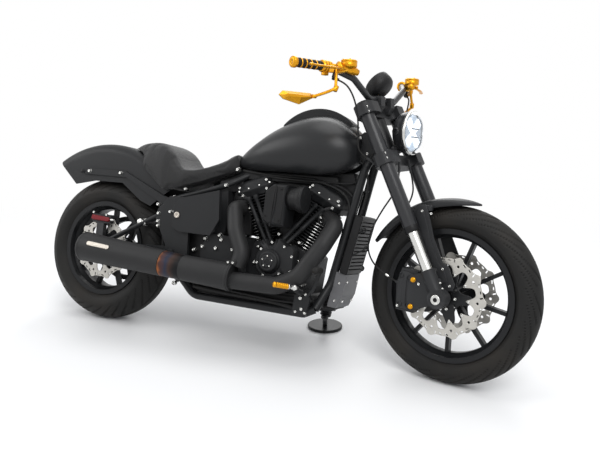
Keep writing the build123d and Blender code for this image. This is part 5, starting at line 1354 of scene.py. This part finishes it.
def makeExhaust():
    rear, front = np.array(pipes["linkRear"]), np.array(pipes["linkFront"])
    axis = unit(front - rear)
    along = np.linspace(-1.0, pipes["tint"], 60)
    radius = 53.3 + 3.2 * np.clip((along - 76) / 240, 0, 1) + 0.5 * np.exp(-((along / 5.0) ** 2))
    profile = np.column_stack((along, radius))
    profile = np.concatenate((((along[0], 50),), profile, ((along[-1], 50),)))
    points, faces = turned(profile, rear, axis, 96)
    start, end = placed((rear, front))
    heatTint = heatTinted("heatTint", start, unit(end - start), (pipes["tint"] + 8) / 1000)
    band = addPiece("heatBand", placed(points), faces, "frame", heatTint)
    # bare plate that follows the side of the muffler: stadium outline, s along and t round
    rear, front = np.array(pipes["mufflerRear"]), np.array(pipes["linkRear"])
    axis = unit(front - rear)
    s = np.linspace(-1, 1, 49)[:, None]
    t = np.linspace(-1, 1, 13)[None, :]
    halfLong, halfHigh = 58.0, 9.0
    inside = np.clip((np.abs(s) * halfLong - (halfLong - halfHigh)) / halfHigh, 0, 1)
    around = math.radians(22) + t * halfHigh * np.sqrt(1 - inside**2 * 0.995) / 62.0
    distance = 114 + s * halfLong + 0 * t
    radius = 64 - 9 * distance / 418 + 1.6
    sideWay = rightWay - axis * np.dot(rightWay, axis)
    upAcross = np.cross(sideWay, axis)
    upAcross = upAcross * np.sign(upAcross[2])
    spread = np.cos(around)[..., None] * unit(sideWay) + np.sin(around)[..., None] * unit(upAcross)
    points = rear + distance[..., None] * axis + radius[..., None] * spread
    plate = addPiece("mufflerPlate", placed(points), gridFaces(49, 13)[:, ::-1], "frame", badgePlate)
    thick = plate.modifiers.new("thick", "SOLIDIFY")
    thick.thickness = 0.0018
    thick.offset = -1
    mouth = ((-1, 45), (-2.5, 48), (-2.8, 56), (-1.6, 62), (2, 64.6), (10, 64.7), (12, 64))
    clamp = ((0, 50), (0, 57.6), (1.5, 58.4), (9, 58.4), (10.5, 57.6), (10.5, 50))
    end = np.array(pipes["collectorFront"]) + (0, 0, 12)
    back = unit(np.array(pipes["linkFront"]) - end)
    trims, heads = [turned(mouth, rear, axis, 96), turned(clamp, end + back * 6, back, 96)], []
    trims.append(sidePlate([roundedLoop(22, 8, 4)], end + (-2, -20, 60), 12, 1.5))
    for shift in (-12, 10):
        heads.append(bolt(end + (shift, -26, 60), rightWay, 5.6, 6, 20))
    # flange rings with two studs where the headers leave the heads
    for foot, way in (((1096, -56, 586), (54, -54, -38)), ((716, -60, 590), (-12, -68, -16))):
        way = unit(way)
        trims.append(turned(((4, 30), (4, 46), (6, 48), (12, 48), (14, 46), (14, 36)), foot, way, 48))
        side = sideways(way)[0]
        for sign in (-1, 1):
            heads.append(bolt(np.array(foot) + way * 14 + side * 40 * sign, way, 6, 8, 20))
    frameParts("exhaustTrims", trims, exhaustBlack)
    frameParts("exhaustBolts", heads, brightSteel)


makeExhaust()
print("exhaust made")

# What fills the machine's sides: intake mouth, black blocks of painted shade that close gaps, looms, guards, cooler
# fittings, controls
loomRuns = (
    # radius, route
    (6.0, ((690, -62, 742), (820, -74, 728), (960, -70, 732), (1080, -64, 724), (1180, -50, 700), (1214, -60, 640))),
    (4.0, ((700, -52, 734), (860, -84, 720), (1010, -82, 716), (1120, -74, 724), (1196, -40, 720), (1226, -40, 760))),
    (5.0, ((1010, -60, 726), (1100, -92, 712), (1168, -92, 690), (1196, -70, 640), (1190, -74, 560))),
    (9.0, ((560, -150, 232), (700, -150, 222), (860, -150, 224), (1010, -150, 216), (1060, -146, 200))),
    (5.0, ((540, -158, 262), (640, -158, 240), (800, -160, 238), (930, -160, 226), (1040, -158, 232))),
    (7.0, ((560, 150, 240), (700, 152, 226), (880, 150, 222), (1020, 148, 206))),
    (5.0, ((1196, 64, 700), (1160, 96, 640), (1150, 100, 520), (1140, 96, 420), (1128, 96, 330))),
    (4.0, ((1200, -44, 830), (1240, -60, 800), (1262, -66, 700), (1236, -66, 610), (1228, -84, 560))),
    (6.0, ((330, -120, 560), (360, -126, 520), (372, -128, 470), (360, -124, 420), (372, -122, 372))),
)


def sheet(corners, left, thickness, edge=2.0):  # a flat plate in the machine's side plane
    return sidePlate([corners], (0, left, 0), thickness, edge)


def makeIntake():
    mouth = ((0, 40), (0, 43), (16, 43.5), (30, 46), (40, 50), (46, 53), (52, 55), (58, 56), (64, 55.4), (67, 52),
             (67, 44), (60, 40), (20, 36))
    black = [turned(mouth, (960, -150, 638), (1, 0, 0.03), 72)]
    black.append(sheet(((874, 548), (876, 654), (904, 682), (918, 682), (912, 540), (900, 530)), -201, 5, 2.2))
    black.append(sheet(((926, 532), (926, 682), (956, 682), (956, 534)), -200.5, 4, 1.8))
    wire = ((918, -200, 690), (926, -202, 640), (922, -202, 580), (906, -198, 520))
    black.append(tube(smoothLine(wire, 32), 3.0, 12))
    frameParts("intakeTrims", black, blackPlastic)
    heads = sideBolts(((884, 560), (944, 670), (944, 545)), -202, 4.6, 4.4)
    frameParts("intakeBolts", heads, blackPlastic)


# black blocks: the regulator and the ribbed guard ahead of the rear wheel are parts; the others are painted shade that
# closes gaps and blocks light
shadeBlocksAndGuards = (
    # left of the middle, thickness, eased edge, (x, z) of the corners
    (0, 132, 5, ((694, 704), (700, 744), (1120, 748), (1130, 716), (1080, 706))),  # painted shade: a black block that closes the gap under the tank
    (0, 76, 5, ((1020, 690), (1040, 760), (1180, 770), (1206, 700), (1180, 640), (1120, 650))),
    (0, 236, 4, ((470, 306), (452, 350), (452, 470), (500, 478), (566, 452), (566, 306))),  # painted shade: a black block behind the pivot
    (0, 232, 6, ((540, 210), (540, 262), (1096, 262), (1110, 214), (1040, 204))),  # painted shade: a black plate under the engine that blocks light
    (0, 150, 4, ((664, 470), (664, 640), (716, 700), (740, 640), (770, 470))),
    (0, 100, 4, ((872, 430), (852, 560), (880, 640), (1010, 620), (1010, 500), (960, 430))),  # painted shade: a black block in the vee
    (0, 96, 4, ((820, 640), (830, 708), (1050, 710), (1050, 640))),
    (0, 150, 4, ((578, 636), (590, 690), (700, 716), (700, 650))),
    (0, 262, 4, ((478, 250), (520, 206), (1060, 196), (1100, 250))),
    (0, 240, 4, ((352, 372), (344, 470), (352, 560), (430, 566), (436, 372))),  # ahead of the rear wheel
    (0, 124, 5, ((1118, 214), (1124, 296), (1150, 306), (1176, 240), (1166, 216))),  # regulator below the cooler
)


def makeFillers():
    # black blocks of painted shade that close gaps, with the regulator and the ribbed guard
    black = [sheet(corners, left, thickness, edge) for left, thickness, edge, corners in shadeBlocksAndGuards]
    for index in range(7):  # ribs of the guard ahead of the rear wheel
        x = 358 + index * 11
        bend = x + index
        rib = ((x, 384), (bend - 6, 470), (x, 552), (x + 5, 552), (bend, 470), (x + 5, 384))
        black.append(sheet(rib, -121.5, 4, 0.8))
    for index in range(6):  # the regulator's fins
        low, high = 222 + index * 13, 222 + index * 12
        black.append(sheet(((1124, low), (1124, low + 6), (1172, high + 6), (1172, high)), 0, 134, 1.2))
    drum = ((0, 0), (0, 30), (4, 36), (56, 36), (60, 33), (64, 20), (64, 0))  # oil filter
    black.append(turned(drum, (1090, 0, 262), (0.94, 0, -0.34), 48))
    frameParts("innerGuardsAndShadeBlocks", black, blackPlastic)
    looms = [tube(smoothLine(route, 48), radius, 14) for radius, route in loomRuns]
    clips = []
    for radius, route in loomRuns:
        middle, after = smoothLine(route, 9)[4:6]
        clips.append(turned(((0, radius + 2.2), (9, radius + 2.2)), middle, after - middle, 16))
    frameParts("looms", looms, hoseRubber)
    frameParts("loomClips", clips, blackPlastic)
    # gusset plates on both sides of the neck
    gusset = ((1128, 836), (1160, 900), (1206, 936), (1240, 934), (1262, 870), (1240, 812), (1180, 806))
    frameParts("neckGussets", mirrored([sheet(gusset, -43, 6, 1.6)]), satinBlack)
    heads = sideBolts(((1194, 912), (1160, 850), (1228, 850)), -46, 6.5, 6)
    frameParts("neckBolts", mirrored(heads), brightSteel)


def makeRearTrims():
    black = [turned(((0, 0), (0, 9), (1.2, 8), (1.6, 0)), (-138, -115, 674), rightWay, 24)]
    # preload adjuster: a notched silver collar on the damper, lying fore and aft
    foot, way = (222, -118, 470), (1, 0, 0.08)
    collar = ((0, 8), (0, 17), (2, 19), (16, 19), (17, 16), (23, 16), (24, 19), (44, 19), (46, 16), (46, 8))
    body = ((46, 0), (46, 13), (60, 13), (62, 11), (84, 11), (86, 14), (104, 14), (104, 0))
    bright = [turned(collar, foot, way, 36)]
    black.append(turned(body, foot, way, 32))
    for index in range(4):
        a = index * math.pi / 2 + 0.5
        black.append(turned(((0, 0), (0, 4), (2, 4), (2, 0)), (255, -118 - 18 * math.cos(a), 473 + 18 * math.sin(a)),
                            (0, -math.cos(a), math.sin(a)), 16))
    brass = [turned(((0, 13), (3, 13.4), (5, 12), (5, 8), (4, 7), (4, 0)), (458, -180.5, 522), rightWay, 36),
             sheet(roundedLoop(1.2, 5, 1, 3) + (458, 522), -185, 1.2, 0.2)]
    bright += sideBolts(((430, 534), (440, 500)), -161, 6, 6)
    # rear caliper: red face plate, two pins and the bracket that reaches forward to the arm
    red = [sheet(((-56, 462), (-50, 479), (44, 473), (52, 458), (40, 453), (-46, 456)), -108, 14, 3.0)]
    bright += sideBolts(((-44, 490), (30, 484)), -106, 6, 8)
    bright.append(turned(((0, 0), (0, 6), (14, 6), (16, 4), (20, 4), (20, 0)), (52, -108, 464), (1, 0, -0.1), 20))
    frameParts("rearTrims", black, blackPlastic)
    frameParts("rearSteel", bright, brightSteel)
    frameParts("seatLock", brass, badgePlate)
    frameParts("rearCaliperFace", red, redCaliper)


def makeCoolerTrims():
    up, off = np.array((0.18, 0, 0.984)), np.array((0.984, 0, -0.18))
    foot = np.array((1180.0, 0.0, 368.0))
    parts = []
    for side in (-1, 1):
        middle = foot + off * 16 + up * 120 + leftWay * side * 87
        parts.append(cutPlate([roundedLoop(17, 118, 8)], middle, off, up, 7, 2.5))
    for index in range(13):
        for left in (-58, -29, 0, 29, 58):
            middle = foot + off * 29 + up * (120 + (index - 6) * 15.0) + leftWay * left
            parts.append(cutPlate([roundedLoop(1.1, 3.4, 0.6, 2)], middle, leftWay, up, 5, 0.2))
    frameParts("coolerTanks", parts, blackPlastic)
    t = np.linspace(0, 2 * np.pi, 33)
    loop = np.array((1262, -86, 546)) + 9 * np.column_stack((0.7 * np.cos(t), 0.7 * np.cos(t), np.sin(t)))
    stay = smoothLine(((1222, -78, 440), (1246, -80, 456), (1270, -80, 470)), 12)
    ring = [tube(loop, 2.6, 12), tube(loop + (15, 6, -72), 2.6, 12), tube(stay, 3.2, 12)]
    frameParts("hoseGuideRing", ring, satinBlack)
    heads = []
    for side in (-1, 1):
        for height, left in ((-30, 60), (-110, 54)):
            heads.append(bolt(foot + off * 34 + up * height + leftWay * side * left, off, 5.4, 5, 20))
        for height in (-40, -112):
            heads.append(bolt(foot + off * 12 + up * height + leftWay * side * 80, leftWay * side, 5.4, 5, 20))
    frameParts("coolerBolts", heads, brightSteel)


def makeFootControls():
    # pegs: gold outer sleeve with grooves, a steel collar next to the bracket
    inner, outer = np.array((1068.0, -234.0, 298.0)), np.array((1016.0, -330.0, 309.0))
    way, run = unit(outer - inner), np.linalg.norm(outer - inner)
    sleeve = [(42, 7), (42, 9.5), (44, 10.6)]
    for index in range(6):
        low = 46 + index * (run - 54) / 6
        sleeve += [(low, 10.6), (low + 5, 10.6), (low + 5.8, 9.4), (low + 7, 9.4), (low + 7.6, 10.6)]
    sleeve += [(run - 2, 10.6), (run, 9), (run, 0)]
    collar = ((0, 0), (0, 10), (3, 11.5), (14, 11.5), (17, 8.5), (36, 8.5), (38, 10), (42, 10), (43, 8))
    frameParts("footPegs", mirrored([turned(sleeve, inner, way, 32)]), goldAnodised, "foot_pegs")
    frameParts("pegCollars", mirrored([turned(collar, inner, way, 32)]), brightSteel)
    grip = [(0, 0), (0, 12.6), (2, 14)]
    for index in range(5):
        grip += [(4 + index * 9, 14), (9 + index * 9, 14), (10 + index * 9, 12.8), (12 + index * 9, 12.8)]
    grip += [(50, 13), (51, 0)]
    pads = [turned(grip, (1154, -226, 376), rightWay, 28)]
    frameParts("pedalRubbers", mirrored(pads), hoseRubber)
    heads = sideBolts(((1065, 255),), -174, 8, 7) + sideBolts(((1074, 213),), -174, 7, 7)
    heads += sideBolts(((1090, 200), (1050, 200), (1086, 272)), -174, 6, 7)
    frameParts("controlBolts", mirrored(heads), brightSteel)


def makeLeftSide():
    # primary cover: two round lids with their bolts, and bolts round the edge
    black, heads = [], []
    for x, z, r in ((919, 314, 74), (696, 326, 60)):
        lid = ((0, r), (3, r), (5, r - 2), (5, r - 8), (7, r - 11), (8.5, r * 0.5), (9, 0))
        black.append(turned(lid, (x, 196.5, z), leftWay, 72))
        for index in range(6):
            a = index * math.pi / 3 + 0.4
            heads.append(bolt((x + (r - 7) * math.cos(a), 200.5, z + (r - 7) * math.sin(a)), leftWay, 4.4, 4, 20))
    rim = ((919, 404), (860, 392), (800, 382), (740, 402), (690, 408), (620, 360), (612, 300), (660, 246), (740, 244),
           (830, 232), (919, 224), (985, 252), (1006, 314), (980, 376))
    heads += sideBolts(rim, 190, 5.0, 7)
    # shift rod, its joints and the crank case's left bolts
    rod = [tube(smoothLine(((1070, 206, 262), (980, 208, 214), (800, 206, 212), (640, 190, 226)), 40), 5.0, 14)]
    for x, z in ((1070, 262), (640, 226)):
        rod.append(turned(((-7, 0), (-7, 9), (7, 9), (7, 0)), (x, 204 if x > 700 else 188, z), leftWay, 24))
    heads += sideBolts(((500, 500), (620, 620), (640, 540), (470, 470)), 192, 6, 6)
    heads += sideBolts(((-90, 678), (88, 681), (306, 562)), 115, 7.5, 6)
    frameParts("primaryLids", black, wrinkleBlack)
    frameParts("leftBolts", heads, brightSteel)
    frameParts("shiftRod", rod, satinBlack)


makeIntake()
makeFillers()
makeRearTrims()
makeCoolerTrims()
makeFootControls()
makeLeftSide()
print("fillers, trims and foot controls made")

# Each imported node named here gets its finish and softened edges
softFinish = {
    "satinBlack": "frame_backbone frame_downtubes frame_rails frame_plates seat_rails stand_bracket swingarm_arms"
    " swingarm_crossmember swingarm_struts side_stand stand_foot foot_controls battery_box",
    "matteBlack": "rear_fender side_covers tank_console",
    "tankBlack": "fuel_tank",
    "wrinkleBlack": "crankcase gearbox primary_cover air_cleaner",
    "castBlack": "rear_rim front_rim rear_pulley",
    "exhaustBlack": "exhaust_headers exhaust_collector muffler",
    "blackPlastic": "oil_cooler",
    "clampBlack": "upper_clamp lower_clamp fork_lugs front_calipers rear_caliper",
    "forkBlack": "fork_tubes handlebar",
    "greyPlastic": "cooler_lower_cover",
    "brightSteel": "fork_sliders front_axle rear_axle",
    "hoseRubber": "drive_belt",
}
softEdge = {  # mm, where it isn't the usual 1.2
    "exhaust_headers": 0.0, "upper_clamp": 3.5, "lower_clamp": 3.5, "air_cleaner": 5.0, "front_calipers": 3.0,
}
finishes = {material.name: material for material in bpy.data.materials}
soft = {}
for finishName, names in softFinish.items():
    for name in names.split():
        if name in nodes:
            soft[name] = softened(name, softEdge.get(name, 1.2), material=finishes[finishName])
print("packed nodes finished:", len(soft))
